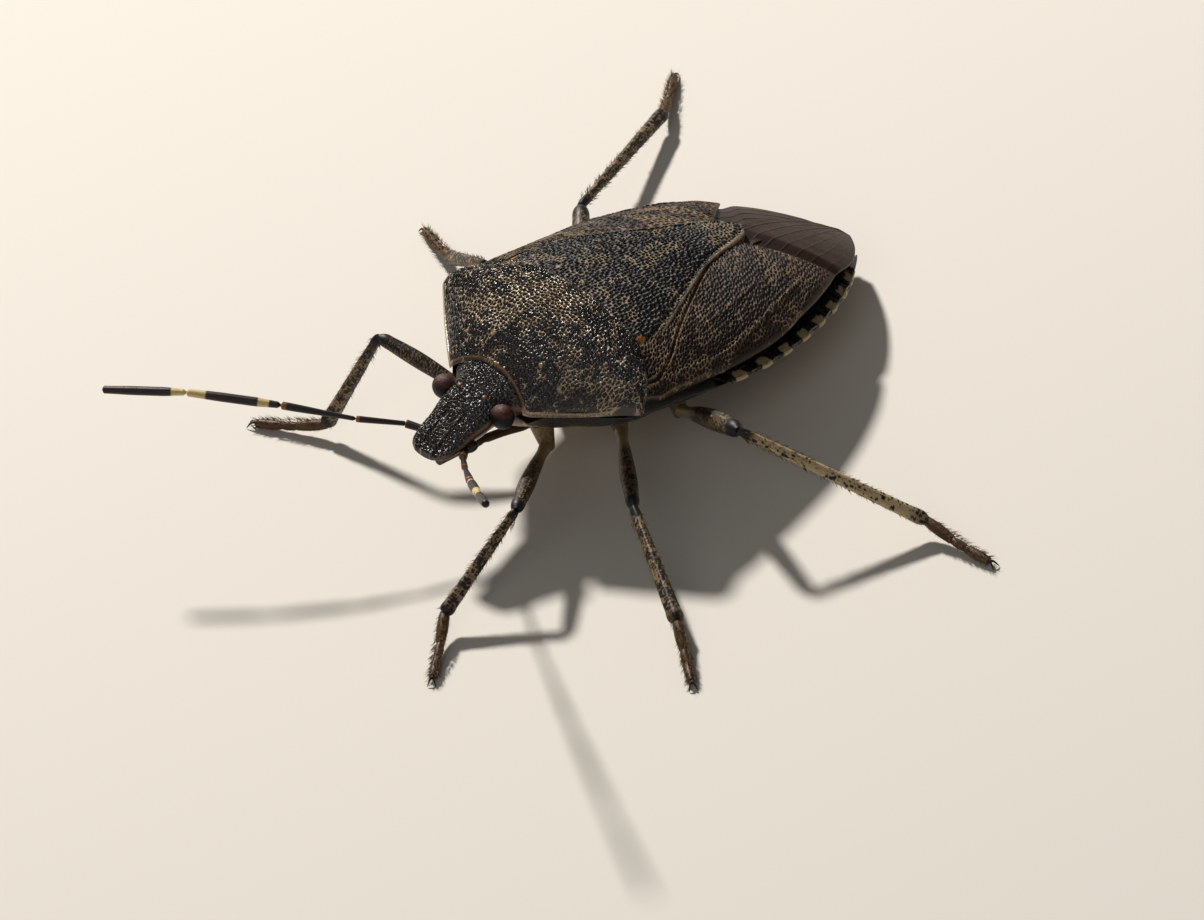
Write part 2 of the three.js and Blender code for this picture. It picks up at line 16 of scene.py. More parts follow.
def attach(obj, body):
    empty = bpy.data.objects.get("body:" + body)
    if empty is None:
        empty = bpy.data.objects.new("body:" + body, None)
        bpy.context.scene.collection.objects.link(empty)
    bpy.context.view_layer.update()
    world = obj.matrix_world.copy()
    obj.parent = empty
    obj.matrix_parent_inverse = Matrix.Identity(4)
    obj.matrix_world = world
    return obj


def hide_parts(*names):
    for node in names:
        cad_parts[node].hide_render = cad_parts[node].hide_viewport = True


bl_info = {
    "name": "Marmorated shield bug",
    "version": (1, 0, 0),
    "blender": (4, 5, 0),
    "location": "View3D > Sidebar > Shield Bug",
    "description": "Builds the fine pieces and finishes of a shield bug on its frame",
    "category": "Add Mesh",
}

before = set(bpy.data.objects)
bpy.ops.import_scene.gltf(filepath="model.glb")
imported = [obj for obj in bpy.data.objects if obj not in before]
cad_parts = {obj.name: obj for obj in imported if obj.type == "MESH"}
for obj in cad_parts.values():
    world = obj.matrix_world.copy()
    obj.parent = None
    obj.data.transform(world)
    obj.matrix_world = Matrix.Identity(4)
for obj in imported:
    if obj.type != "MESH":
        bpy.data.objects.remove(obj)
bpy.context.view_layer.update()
MM = 0.001
ORIGIN = np.array([-1.068, -1.583, 0.0])

# The stance: the trunk's height, its tilt and lean, and the turn of the head, as in the frame.
SHOULDER_HEIGHT = 3.21
NOSE_UP = math.radians(9.6)
LEAN = math.radians(1.9)
HEAD_TURN = math.radians(6)
NECK = np.array([0, -2.2, -0.2])

# The trunk's section at each place along it.
HALF_WIDTH = [
    (-2.4, 1.4), (-1.5, 2.5), (-0.5, 3.85), (0.3, 3.78), (2, 3.75),
    (4, 3.68), (6, 3.2), (8, 2.3), (9.3, 1.25), (10.1, 0.35),
]
EDGE_HEIGHT = [
    (-2.4, -0.3), (-1.5, -0.05), (-0.5, 0.21), (0.3, 0.08), (2, -0.09),
    (4, -0.17), (6, -0.24), (8, -0.29), (9.3, -0.45), (10.1, -0.7),
]
EDGE_RISE = [(-2.4, 0.05), (-0.5, 0.05), (1, 0.25), (8, 0.25), (10.1, 0.1)]
BACK_HEIGHT = [
    (-2.4, 0.1), (-1.5, 1.06), (0.3, 1.7), (3, 1.55), (6.2, 1.13), (8, 0.5), (9.3, -0.1), (10.1, -0.55),
]
BACK_OUTER = 2.45
BACK_INNER = [(-2.4, 0.61), (-1, 0.66), (0.5, 0.77), (3, 0.74), (5.5, 0.65), (8, 0.58), (10.1, 0.58)]
KEEL_HEIGHT = [
    (-2.4, -1.2), (-1.2, -1.5), (1, -1.8), (4, -1.9), (6, -1.7), (8, -1.3), (9, -1.1), (10.1, -0.9),
]
BELLY_OUTER, BELLY_INNER = 1.8, 0.9
SHIELD_HALF_WIDTH = [
    (0.8, 2.7), (1.4, 2.48), (2, 2.2), (3, 1.68), (3.9, 1.2),
    (4.7, 0.89), (5.5, 0.64), (5.95, 0.44), (6.2, 0.22), (6.3, 0.03),
]
COSTAL_MARGIN = [
    (0.1, 3.73), (1.3, 3.71), (2.5, 3.7), (3.3, 3.67), (4, 3.6),
    (4.7, 3.45), (5.5, 3.18), (6.4, 2.84), (7.2, 2.45), (7.6, 2.2),
]
CLAVAL_SEAM = [(0.4, 3.42), (1.07, 3.12), (1.52, 2.8), (2.23, 2.33), (3.06, 1.79), (3.6, 1.44), (4.1, 1.15)]
OUTER_VEIN = [(0.8, 3.5), (2.83, 3.46), (3.43, 3.33), (4.18, 3.13), (5.29, 2.75), (6.6, 2.2)]

# The pronotum's side as quadratic curves, and the moles near its front.
PRONOTUM_SIDE = [((1.4, -2.38), (2.6, -1.56), (3.87, -0.5)), ((3.87, -0.5), (3.5, 0.15), (2.5, 0.52))]
MOLES = ((-1.47, -1.76), (-0.56, -1.68), (1.23, -1.65), (1.95, -1.66))

# The rim's segments, as places along the trunk with their running number, and the belly's rings.
SEGMENTS = [(2.7, 0.1), (4.4, 2), (5.25, 3), (6.05, 4), (6.8, 5), (7.5, 6), (8.15, 7), (8.9, 8.2)]
BELLY_RINGS = (2.85, 3.85, 4.85, 5.85, 6.85, 7.8, 8.7)

# The head's plan and section, along its own middle line from its tip to the neck.
HEAD_TIP = -2.46
HEAD_HALF_WIDTH = [
    (-2.46, 0.36), (-2.34, 0.55), (-2, 0.7), (-1.5, 0.74),
    (-1, 0.84), (-0.67, 0.85), (-0.36, 0.9), (0.1, 1.32),
]
HEAD_TOP = [(-2.46, -0.8), (-2, -0.53), (-1.5, -0.24), (-1, 0.06), (-0.67, 0.24), (-0.2, 0.42), (0.1, 0.5)]
HEAD_EDGE = [(-2.46, -0.86), (-2, -0.7), (-1.5, -0.5), (-1, -0.33), (-0.67, -0.22), (0.1, -0.15)]
HEAD_UNDER = [(-2.46, -1.0), (-2, -1.12), (-1.5, -1.15), (-1, -1.08), (0.1, -0.95)]
BEAK_LINE = np.array([
    (0.17, -4.1, -1.55), (0.08, -3.1, -1.62), (0, -1.9, -1.75),
    (0, -0.6, -1.98), (0, 0.6, -2.14), (0, 1.7, -2.3),
])

# Limbs: joints of the stance, from the point between the shoulders on the floor.
LEGS = {
    "front": {
        "hip": (1.05, -1.2, -1.85),
        "left": ((3.17, -4.39, 2.34), (3.04, -6.99, 0.59), (4.27, -8.56)),
        "right": ((-4.12, -2.49, 3.11), (-5.26, -3.77, 0.45), (-7.08, -4.7)),
    },
    "middle": {
        "hip": (1.4, 1.0, -2.1),
        "left": ((4.67, -1.84, 1.61), (7.9, -3.44, 0.61), (9.5, -4.48)),
        "right": ((-5.1, 1.9, 2.3), (-7.93, 2.9, 0.5), (-9.71, 3.5)),
    },
    "hind": {
        "hip": (1.85, 2.6, -2.0),
        "left": ((5.99, 0.81, 3.12), (9.76, 3.4, 0.5), (11.87, 3.57)),
        "right": ((-5.91, 5.84, 1.41), (-8.15, 10.65, 0.5), (-9.5, 12.2)),
    },
}
SIDES = {"left": 1, "right": -1}
ANTENNA_JOINTS = {
    "left": (
        (1.07, -4.22, 2.89), (2.02, -4.9, 3.46), (3.56, -5.91, 4.47), (5.46, -7.1, 5.78),
        (7.14, -8.12, 6.98),
    ),
    "right": (
        (-1.0, -4.32, 2.99), (-1.81, -5.26, 3.32), (-3.22, -6.48, 3.81), (-5.08, -7.99, 4.23),
        (-6.76, -9.37, 4.33),
    ),
}
# Radii at the thin start and at the widest place of each of a feeler's joints.
ANTENNA_RADII = [(0.095, 0.11), (0.065, 0.085), (0.06, 0.105), (0.085, 0.12), (0.085, 0.118)]
# Radii of a shin at shares of its length.
SHIN_RADIUS = [
    (0, 0.1), (0.03, 0.125), (0.12, 0.125), (0.3, 0.145), (0.6, 0.165), (0.9, 0.19), (0.98, 0.19), (1, 0.14),
]
# The base of the left feeler on the head, and the legs' count of sides, toe height and hairs.
TUBERCLE = np.array([0.7, -1.52, -0.82])
LEG_SIDES = 32
TOE_HEIGHT = 0.15
SHIN_HAIRS_PER_MM, FOOT_HAIRS = 90, 420
HAIR_RADIUS = 0.009
# Point masks of every piece; on the eyes and the breast's sides pit also carries painted shade, and on the
# eyes pale carries painted light.
MASKS = ("pale", "pit", "warm")

# The photograph's camera: its distance in millimetres, and its aim beside and under the box's middle.
AZIMUTH, ELEVATION, ROLL = math.radians(53.59), math.radians(38.23), math.radians(-9.04)
CAMERA_DISTANCE = 316.0
PIXELS_PER_MM = 39.26
IMAGE_WIDTH = 1204
SENSOR_WIDTH = 36
AIM = (0, 0, 3)
AIM_RIGHT, AIM_UP = 1.126, -2.647

# The stage: half the floor's side in metres, the ways to the two lamps, and the front one's share of power.
FLOOR_REACH = 0.6
KEY_SIDE, FRONT_SIDE = (-0.93, 0.28, 0.93), (0.6, -0.9, 0.8)
FRONT_SHARE = 0.16

# Bits kept by the lattice's random numbers.
LOW_32_BITS, LOW_24_BITS = 0xFFFFFFFF, 0xFFFFFF


def linear(hex_colour):
    """An sRGB hex colour as linear red, green, blue and alpha: the sRGB transfer curve undone per channel."""
    channels = [int(hex_colour[i : i + 2], 16) / 255 for i in (1, 3, 5)]
    return [c / 12.92 if c <= 0.04045 else ((c + 0.055) / 1.055) ** 2.4 for c in channels] + [1.0]


def through(stations):
    """A smooth function through stations: Hermite curves, each slope the mean of those on its two sides."""
    place, value = np.array(stations, float).T
    secant = np.diff(value) / np.diff(place)
    slope = np.concatenate([secant[:1], (secant[1:] + secant[:-1]) / 2, secant[-1:]])

    def evaluate(at):
        at = np.clip(at, place[0], place[-1])
        i = np.clip(np.searchsorted(place, at, side="right") - 1, 0, len(secant) - 1)
        span = place[i + 1] - place[i]
        p = (at - place[i]) / span
        return (
            value[i] * (1 + 2 * p) * (1 - p) ** 2
            + value[i + 1] * p**2 * (3 - 2 * p)
            + span * p * (1 - p) * (slope[i] * (1 - p) - slope[i + 1] * p)
        )

    return evaluate


half_width = through(HALF_WIDTH)
edge_height = through(EDGE_HEIGHT)
edge_rise = through(EDGE_RISE)
back_height = through(BACK_HEIGHT)
keel_height = through(KEEL_HEIGHT)
shield_half_width = through(SHIELD_HALF_WIDTH)
costal_margin = through(COSTAL_MARGIN)
claval_seam = through(CLAVAL_SEAM)
outer_vein = through(OUTER_VEIN)
back_inner = through(BACK_INNER)


def arch(share, outer, inner):
    """The fall of a section from 1 in its middle to 0 at its side: (1 - |share|^outer)^inner."""
    return (1 - np.clip(np.abs(share), 0, 1) ** outer) ** inner


def back(x, y):
    """Height of the back: the rim, plus the back's height over it times the arch of the share across."""
    rim = edge_height(y) + edge_rise(y)
    return rim + (back_height(y) - rim) * arch(x / half_width(y), BACK_OUTER, back_inner(y))


def belly(x, y):
    """Height of the belly: the rim, less the keel's depth times a rounder arch."""
    rim = edge_height(y)
    return rim + (keel_height(y) - rim) * arch(x / half_width(y), BELLY_OUTER, BELLY_INNER)


def smooth_step(value, low, high):
    """0 below low and 1 above high, with an S-shaped cubic between them."""
    p = np.clip((value - low) / (high - low), 0, 1)
    return p * p * (3 - 2 * p)


def bell(value, width):
    """A bell curve, 1 at zero and falling over the width."""
    return np.exp(-((value / width) ** 2))


def lattice_random(i, j, seed):
    """A repeatable random number in 0 to 1 for each lattice place: both its numbers and the seed times large
    odd numbers, with the bits mixed twice."""
    h = (i.astype(np.int64) * 374761393 + j.astype(np.int64) * 668265263 + seed * 974634777) & LOW_32_BITS
    h = ((h ^ (h >> 13)) * 1274126177) & LOW_32_BITS
    h = ((h ^ (h >> 16)) * 2246822519) & LOW_32_BITS
    return ((h ^ (h >> 15)) & LOW_24_BITS) / LOW_24_BITS


def cells(x, y, spacing, seed, scatter=0.8):
    """Distances, in spacings, to the nearest and next nearest point of a jittered lattice, and a random
    number of the nearest one."""
    u, v = x / spacing, y / spacing
    iu, iv = np.floor(u), np.floor(v)
    first = np.full(np.shape(u), 9.0)
    second = first.copy()
    number = np.zeros(np.shape(u))
    for di in (-1, 0, 1):
        for dj in (-1, 0, 1):
            ci, cj = iu + di, iv + dj
            px = ci + 0.5 + scatter * (lattice_random(ci, cj, seed) - 0.5)
            py = cj + 0.5 + scatter * (lattice_random(ci, cj, seed + 1) - 0.5)
            far = np.hypot(u - px, v - py)
            nearer = far < first
            second = np.where(nearer, first, np.minimum(second, far))
            number = np.where(nearer, lattice_random(ci, cj, seed + 2), number)
            first = np.where(nearer, far, first)
    return first, second, number


def cloud(x, y, size, seed):
    """Soft random patches in 0 to 1: lattice numbers blended between the four places round each point."""
    u, v = x / size, y / size
    iu, iv = np.floor(u), np.floor(v)
    fu, fv = smooth_step(u - iu, 0, 1), smooth_step(v - iv, 0, 1)
    low = lattice_random(iu, iv, seed) * (1 - fu) + lattice_random(iu + 1, iv, seed) * fu
    high = lattice_random(iu, iv + 1, seed) * (1 - fu) + lattice_random(iu + 1, iv + 1, seed) * fu
    return low * (1 - fv) + high * fv


def patches(x, y, size, seed):
    """Clouds of three sizes, each half as large and half as strong as the last."""
    shares = (1, 1 / 2, 1 / 4)
    clouds = (cloud(x, y, size * share, seed + 7 * k) * share for k, share in enumerate(shares))
    return sum(clouds) / sum(shares)


def turn(points, axis, angle):
    """Points turned about a coordinate axis by the right-hand rule."""
    return points @ np.array(Matrix.Rotation(angle, 3, axis)).T


def from_trunk(points):
    """Trunk frame to stance: lean about Y, then the nose-up tilt about X, then up to shoulder height."""
    return turn(turn(points, "Y", LEAN), "X", -NOSE_UP) + [0, 0, SHOULDER_HEIGHT]


def from_head(points):
    """Head frame to stance, by way of the neck and the trunk."""
    return from_trunk(turn(points, "Z", HEAD_TURN) + NECK)


def quads(rows, columns, start=0, ring=False):
    """Corner numbers of a grid's faces; ring joins the last column to the first."""
    wide = columns if ring else columns - 1
    r, c = np.meshgrid(np.arange(rows - 1), np.arange(wide), indexing="ij")
    n = (c + 1) % columns
    a, b = r * columns + c, r * columns + n
    return (start + np.stack([a, b, b + columns, a + columns], -1)).reshape(-1, 4)


def outward(points, faces):
    """The faces, turned round if their shell is inside out: its corners' triple products sum below zero."""
    centred = points - points.mean(0)
    total = 0.0
    for group in faces:
        for k in range(1, group.shape[1] - 1):
            a, b, c = (centred[group[:, n]] for n in (0, k, k + 1))
            total += np.einsum("ij,ij->", a, np.cross(b, c))
    return [group[:, ::-1] for group in faces] if total < 0 else faces


def rim_of(rows, columns):
    """The grid's border places, once round."""
    return np.concatenate([
        np.arange(columns),
        np.arange(1, rows) * columns + columns - 1,
        (rows - 1) * columns + np.arange(columns - 2, -1, -1),
        np.arange(rows - 2, 0, -1) * columns,
    ])


def plate(x, y, upper, lower, stride=8):
    """A closed plate over a plan grid: a fine upper face, a lower face of every stride-th row and column, and
    a wall whose faces run from one coarse border place to the next."""
    rows, columns = x.shape
    points = np.stack([x, y, upper], -1).reshape(-1, 3)
    coarse = np.stack([x, y, lower], -1)[::stride, ::stride]
    below = quads(*coarse.shape[:2], start=len(points))[:, ::-1]
    fine_rim = rim_of(rows, columns)
    coarse_rim = rim_of(*coarse.shape[:2]) + len(points)
    turns = len(coarse_rim)
    run = (np.arange(turns)[:, None] * stride + np.arange(stride + 1)) % len(fine_rim)
    wall = np.concatenate([fine_rim[run], np.roll(coarse_rim, -1)[:, None], coarse_rim[:, None]], 1)[:, ::-1]
    return np.concatenate([points, coarse.reshape(-1, 3)]), [quads(rows, columns), below, wall]


def both_faces(mask, stride=8):
    """A mask of a plate's upper face, carried on to its coarser lower face."""
    return np.concatenate([mask.ravel(), mask[::stride, ::stride].ravel()])


def tube(path, radii, up, sides, ridge=0.0, ridges=4):
    """A closed tube along a path: rings square to it, fluted by a cosine of the angle round."""
    along = np.gradient(path, axis=0)
    along /= np.linalg.norm(along, axis=1, keepdims=True)
    side = np.cross(along, up)
    side /= np.linalg.norm(side, axis=1, keepdims=True)
    over = np.cross(side, along)
    angle = np.arange(sides) * 2 * np.pi / sides
    reach = np.asarray(radii)[:, None] * (1 + ridge * np.cos(ridges * angle))
    ring = (
        side[:, None] * (np.cos(angle) * reach)[..., None]
        + over[:, None] * (np.sin(angle) * reach)[..., None]
    )
    n = len(path)
    k = np.arange(sides)
    follow = (k + 1) % sides
    last = (n - 1) * sides
    start_fan = np.stack([follow, k, np.full(sides, n * sides)], -1)
    end_fan = np.stack([last + k, last + follow, np.full(sides, n * sides + 1)], -1)
    points = np.concatenate([(path[:, None] + ring).reshape(-1, 3), path[:1], path[-1:]])
    return points, [quads(n, sides, ring=True), start_fan, end_fan]


def ball(centre, radii, rows, columns):
    """An ellipsoid on a latitude and longitude grid, with a point at each pole."""
    lat = np.linspace(-np.pi / 2, np.pi / 2, rows + 2)[1:-1]
    path = np.stack([0 * lat, 0 * lat, np.sin(lat)], -1)
    points, faces = tube(path, np.cos(lat), np.array([0.0, 1.0, 0.0]), sides=columns)
    points[-2], points[-1] = (0, 0, -1), (0, 0, 1)
    return points * radii + centre, faces


def joined(*shells):
    """Several shells as one list of points and one of faces."""
    points, faces, start = [], [], 0
    for shell_points, shell_faces in shells:
        points.append(shell_points)
        faces.extend(group + start for group in outward(shell_points, shell_faces))
        start += len(shell_points)
    return np.concatenate(points), faces


def make_piece(name, shell, kind, replaced=(), masks=None, crease=50):
    """Puts a shell into a mesh in metres, with a kind of finish and its masks as point attributes."""
    points, faces = shell
    faces = outward(points, faces)
    counts = np.concatenate([np.full(len(group), group.shape[1], np.int32) for group in faces])
    corners = np.concatenate([group.ravel() for group in faces]).astype(np.int32)
    mesh = bpy.data.meshes.new(name)
    mesh.vertices.add(len(points))
    mesh.vertices.foreach_set("co", ((points + ORIGIN) * MM).astype(np.float32).ravel())
    mesh.loops.add(len(corners))
    mesh.loops.foreach_set("vertex_index", corners)
    mesh.polygons.add(len(counts))
    mesh.polygons.foreach_set("loop_start", np.cumsum(counts, dtype=np.int32) - counts)
    mesh.polygons.foreach_set("loop_total", counts)
    mesh.polygons.foreach_set("use_smooth", np.ones(len(counts), bool))
    mesh.update(calc_edges=True)
    for mask in MASKS:
        values = (masks or {}).get(mask, 0.0)
        attribute = mesh.attributes.new(mask, "FLOAT", "POINT")
        attribute.data.foreach_set("value", np.broadcast_to(values, len(points)).astype(np.float32))
    mesh.set_sharp_from_angle(angle=math.radians(crease))
    mesh.materials.append(finish(kind))
    piece = link_object(name, mesh)
    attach(piece, "root")
    if replaced:
        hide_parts(*replaced)


def make_plate(name, surfaces, kind, slot, replaced, **masks):
    """A plate of the trunk as a piece: x, y, fine and coarse face on a grid, and masks over both faces."""
    points, faces = plate(*surfaces)
    shape = surfaces[0].shape
    masks = {mask: both_faces(np.broadcast_to(values, shape)) for mask, values in masks.items()}
    make_piece(name, (from_trunk(points), faces), kind, replaced, masks)


def add_node(tree, kind, links=(), values=(), stops=(), **settings):
    """Adds a shader node with its settings, values, colour stops and links; a link may be a hex colour."""
    node = tree.nodes.new(kind)
    for key, value in settings.items():
        setattr(node, key, value)
    for socket, value in dict(values).items():
        node.inputs[socket].default_value = value
    for socket, source in dict(links).items():
        if isinstance(source, str):
            node.inputs[socket].default_value = linear(source)
        else:
            tree.links.new(source, node.inputs[socket])
    if stops:
        ramp = node.color_ramp
        while len(ramp.elements) < len(stops):
            ramp.elements.new(0.5)
        for element, (position, colour) in zip(ramp.elements, stops):
            element.position = position
            element.color = linear(colour)
    return node


def chitin(
    name, dark, pale, warm, hollow, rough=0.42, coat=0.25, grain_mm=0.03, bump=0.25, specular=0.5, ragged=0.7
):
    """Insect cuticle: a dark ground, then pale marks, warm marks and hollows laid over it, each by an S-curve
    from low to high on its mask plus a share of the fine grain. On the eyes and the breast's sides the hollow
    layer also lays painted shade, and on the eyes the pale layer lays painted light."""
    blotch_mm = 0.5
    material = bpy.data.materials.new(name)
    material.use_nodes = True
    tree = material.node_tree
    tree.nodes.clear()
    place = add_node(tree, "ShaderNodeTexCoord").outputs["Object"]
    fine, broad = (
        add_node(
            tree, "ShaderNodeTexNoise", {"Vector": place},
            {"Scale": 1 / (size * MM), "Detail": detail, "Roughness": 0.6},
        ).outputs["Fac"]
        for size, detail in ((grain_mm, 3), (blotch_mm, 4))
    )
    ground, light = (
        add_node(
            tree, "ShaderNodeValToRGB", {"Fac": noise}, stops=[(0.3, tones[0]), (0.7, tones[1])]
        ).outputs["Color"]
        for noise, tones in ((broad, dark), (fine, pale))
    )
    jitter = add_node(tree, "ShaderNodeMath", {0: fine}, {1: 0.5}, operation="SUBTRACT").outputs[0]
    colour = ground
    layers = (("pale", light, 0.25, 0.75), ("warm", warm, 0.2, 0.9), ("pit", hollow, 0.2, 0.9))
    for mask, over, low, high in layers:
        painted = add_node(tree, "ShaderNodeAttribute", attribute_name=mask).outputs["Fac"]
        shaken = add_node(
            tree, "ShaderNodeMath", {0: jitter, 2: painted}, {1: ragged}, operation="MULTIPLY_ADD"
        ).outputs[0]
        share = add_node(
            tree, "ShaderNodeMapRange", {"Value": shaken}, {"From Min": low, "From Max": high},
            interpolation_type="SMOOTHSTEP",
        ).outputs["Result"]
        colour = add_node(tree, "ShaderNodeMix", {0: share, 6: colour, 7: over}, data_type="RGBA").outputs[2]
    relief = add_node(
        tree, "ShaderNodeBump", {"Height": fine}, {"Strength": bump, "Distance": grain_mm * MM}
    ).outputs["Normal"]
    roughness = add_node(
        tree, "ShaderNodeMapRange", {"Value": fine}, {"To Min": rough * 0.75, "To Max": rough * 1.25}
    ).outputs["Result"]
    shader = add_node(
        tree, "ShaderNodeBsdfPrincipled",
        {"Base Color": colour, "Roughness": roughness, "Normal": relief},
        {"Coat Weight": coat, "Coat Roughness": 0.25, "IOR": 1.56, "Specular IOR Level": specular},
    )
    add_node(tree, "ShaderNodeOutputMaterial", {"Surface": shader.outputs[0]})
    return material


FINISHES = {}


def finish(kind):
    """The material of a kind, made at its first use."""
    if kind not in FINISHES:
        FINISHES[kind] = chitin(kind, **FINISH_RECIPES[kind])
    return FINISHES[kind]


FINISH_RECIPES = {
    # Thick hardened cuticle, cast full of pits: near black with tan worm-like ridges that catch hard glints.
    "pitted_back_cuticle": dict(
        dark=("#0c0a0a", "#1e1611"), pale=("#7f6c50", "#bda888"), warm="#6e4a2c", hollow="#030303",
        rough=0.28, coat=0.05, specular=0.5, bump=0.15,
    ),
    # The same cuticle over the scutellum, duller and with a blue-black cast between the tan ridges.
    "dull_shield_cuticle": dict(
        dark=("#0b0d12", "#1f1812"), pale=("#6f5f47", "#9c8a6c"), warm="#96602a", hollow="#040404",
        rough=0.5, coat=0.0, specular=0.25, bump=0.1,
    ),
    # Leathery fore wing, tanned thinner than the back: brown-black, specked with tan, matt.
    "leathery_wing_cuticle": dict(
        dark=("#150f0b", "#332317"), pale=("#6f5a3f", "#968061"), warm="#5c3a24", hollow="#070504",
        rough=0.55, coat=0.0, specular=0.2, bump=0.1,
    ),
    # Thin clear wing membrane over a dark back: smooth dark brown with a soft gloss.
    "smoky_wing_membrane": dict(
        dark=("#20150e", "#332119"), pale=("#483224", "#58402c"), warm="#3e2619", hollow="#120b07",
        rough=0.5, coat=0.0, grain_mm=0.08, bump=0.05, specular=0.15, ragged=0.3,
    ),
    # Unpigmented cuticle of the underside: straw with brown pits and a waxy look; its dark hollow colour also
    # paints the shade on the breast's sides.
    "straw_belly_cuticle": dict(
        dark=("#7d6846", "#97805a"), pale=("#a8926a", "#bda780"), warm="#6e4a2a", hollow="#15100b",
        rough=0.45, coat=0.05, grain_mm=0.05,
    ),
    # Leg bases and beak under the trunk: brown as painted shade over their straw cuticle, with a dull wax
    # bloom.
    "hip_cuticle_in_painted_shade": dict(
        dark=("#33261a", "#54412b"), pale=("#6b5638", "#86704d"), warm="#4b2e1a", hollow="#0d0906",
        rough=0.45, coat=0.0, grain_mm=0.05, specular=0.3,
    ),
    # Flared side edge of the abdomen: black cuticle with cream bands left unpigmented.
    "banded_margin_cuticle": dict(
        dark=("#0a0807", "#17110d"), pale=("#93815f", "#b5a37e"), warm="#6e452c", hollow="#060504",
        rough=0.4, coat=0.05, specular=0.35, ragged=0.3,
    ),
    # Compound eye: packed lenses over dark red pigment, so a granular wine-brown shine; its near-black hollow
    # colour paints the shade on the lower half, and its pale colour paints light on the upper half.
    "faceted_eye_lens": dict(
        dark=("#2e1511", "#4c2620"), pale=("#7a5046", "#93685c"), warm="#5a2418", hollow="#040202",
        rough=0.45, coat=0.0, grain_mm=0.035, bump=0.6, specular=0.25, ragged=0.3,
    ),
    # Feeler cuticle, thin and hairy: dark brown with ivory rings and amber joints.
    "feeler_cuticle": dict(
        dark=("#120a07", "#241510"), pale=("#ab9360", "#d6c18c"), warm="#7d4f26", hollow="#0a0605",
        rough=0.42, coat=0.0, specular=0.3, ragged=0.4,
    ),
    # Leg cuticle: tan under dense black mottling, shiny black at the knee.
    "mottled_leg_cuticle": dict(
        dark=("#6b5639", "#877050"), pale=("#a08a66", "#b8a682"), warm="#4e3222", hollow="#0b0807",
        rough=0.48, coat=0.0, specular=0.3,
    ),
    # Foot cuticle: golden brown, matted with short hairs.
    "golden_foot_cuticle": dict(
        dark=("#33210f", "#503619"), pale=("#74552a", "#93703f"), warm="#37200f", hollow="#160d07",
        rough=0.5, coat=0.0, specular=0.3,
    ),
    # Claw: solid dark horn, polished by use.
    "dark_claw_horn": dict(
        dark=("#150c07", "#2b190e"), pale=("#4a2e18", "#65422a"), warm="#2e1a0e", hollow="#0b0604",
        rough=0.4, coat=0.0, specular=0.3,
    ),
    # Hair: fine clear bristle, pale gold against dark cuticle.
    "golden_bristle": dict(
        dark=("#4e3a1c", "#6e5530"), pale=("#8a6d3c", "#a3844e"), warm="#4a341c", hollow="#2a1b0f",
        rough=0.55, coat=0.0, specular=0.2,
    ),
}


def curve_points(control_sets, count):
    """Quadratic curves end to end, as points evenly spaced along their length."""
    t = np.linspace(0, 1, 200)[:, None]
    runs = [
        a * (1 - t) ** 2 + 2 * b * t * (1 - t) + c * t**2
        for a, b, c in (tuple(np.array(p, float) for p in run) for run in control_sets)
    ]
    line = np.concatenate(runs)
    gone = np.concatenate([[0], np.cumsum(np.linalg.norm(np.diff(line, axis=0), axis=1))])
    at = np.linspace(0, gone[-1], count)
    return np.stack([np.interp(at, gone, line[:, k]) for k in range(line.shape[1])], -1)


def network(x, y, spacing, seed):
    """Pits on a jittered lattice and the ridges between them: (pit depth 0 to 1, ridge height 0 to 1)."""
    near, far, _ = cells(x, y, spacing, seed)
    pit = 1 - smooth_step(near, 0.18, 0.42)
    ridge = 1 - smooth_step(far - near, 0.05, 0.4)
    return pit, ridge


def worm_lines(ridge, amount):
    """Pale lines along the ridges, wider with the amount: an S-curve on ridge height plus amount."""
    return smooth_step(ridge + np.clip(amount, -1, 0.6), 1.0, 1.3)


def strongest(*marks):
    """The strongest of several marks at each place, kept in 0 to 1."""
    return np.clip(np.maximum.reduce(np.broadcast_arrays(*marks)), 0, 1)


def bevel(distance, radius):
    """How far a rounded rim drops at a distance from it: radius less the height of a quarter circle."""
    inside = np.clip(radius - distance, 0, radius)
    return radius - np.sqrt(radius**2 - inside**2)


def unrolled(x, y, z):
    """Distances over the surface: along each row from the middle column, and down each column."""
    row_steps = np.hypot(np.diff(x, axis=1), np.diff(z, axis=1))
    gone = np.concatenate([np.zeros((len(x), 1)), np.cumsum(row_steps, axis=1)], 1)
    column_steps = np.hypot(np.diff(y, axis=0), np.diff(z, axis=0))
    down = np.concatenate([np.zeros((1, y.shape[1])), np.cumsum(column_steps, axis=0)])
    return gone - gone[:, [x.shape[1] // 2]], down


def crowded(count, power=1.5):
    """Places from -1 to 1 that crowd towards both ends, where a section falls steeply."""
    even = np.linspace(-1, 1, count)[None, :]
    return np.sign(even) * (1 - (1 - np.abs(even)) ** power)


def spot(x, y, centre, radius, slope=1.0):
    """A round soft mark at a place, with the length along the trunk grown by the slope of the surface."""
    return bell(np.hypot(x - centre[0], slope * (y - centre[1])), radius)


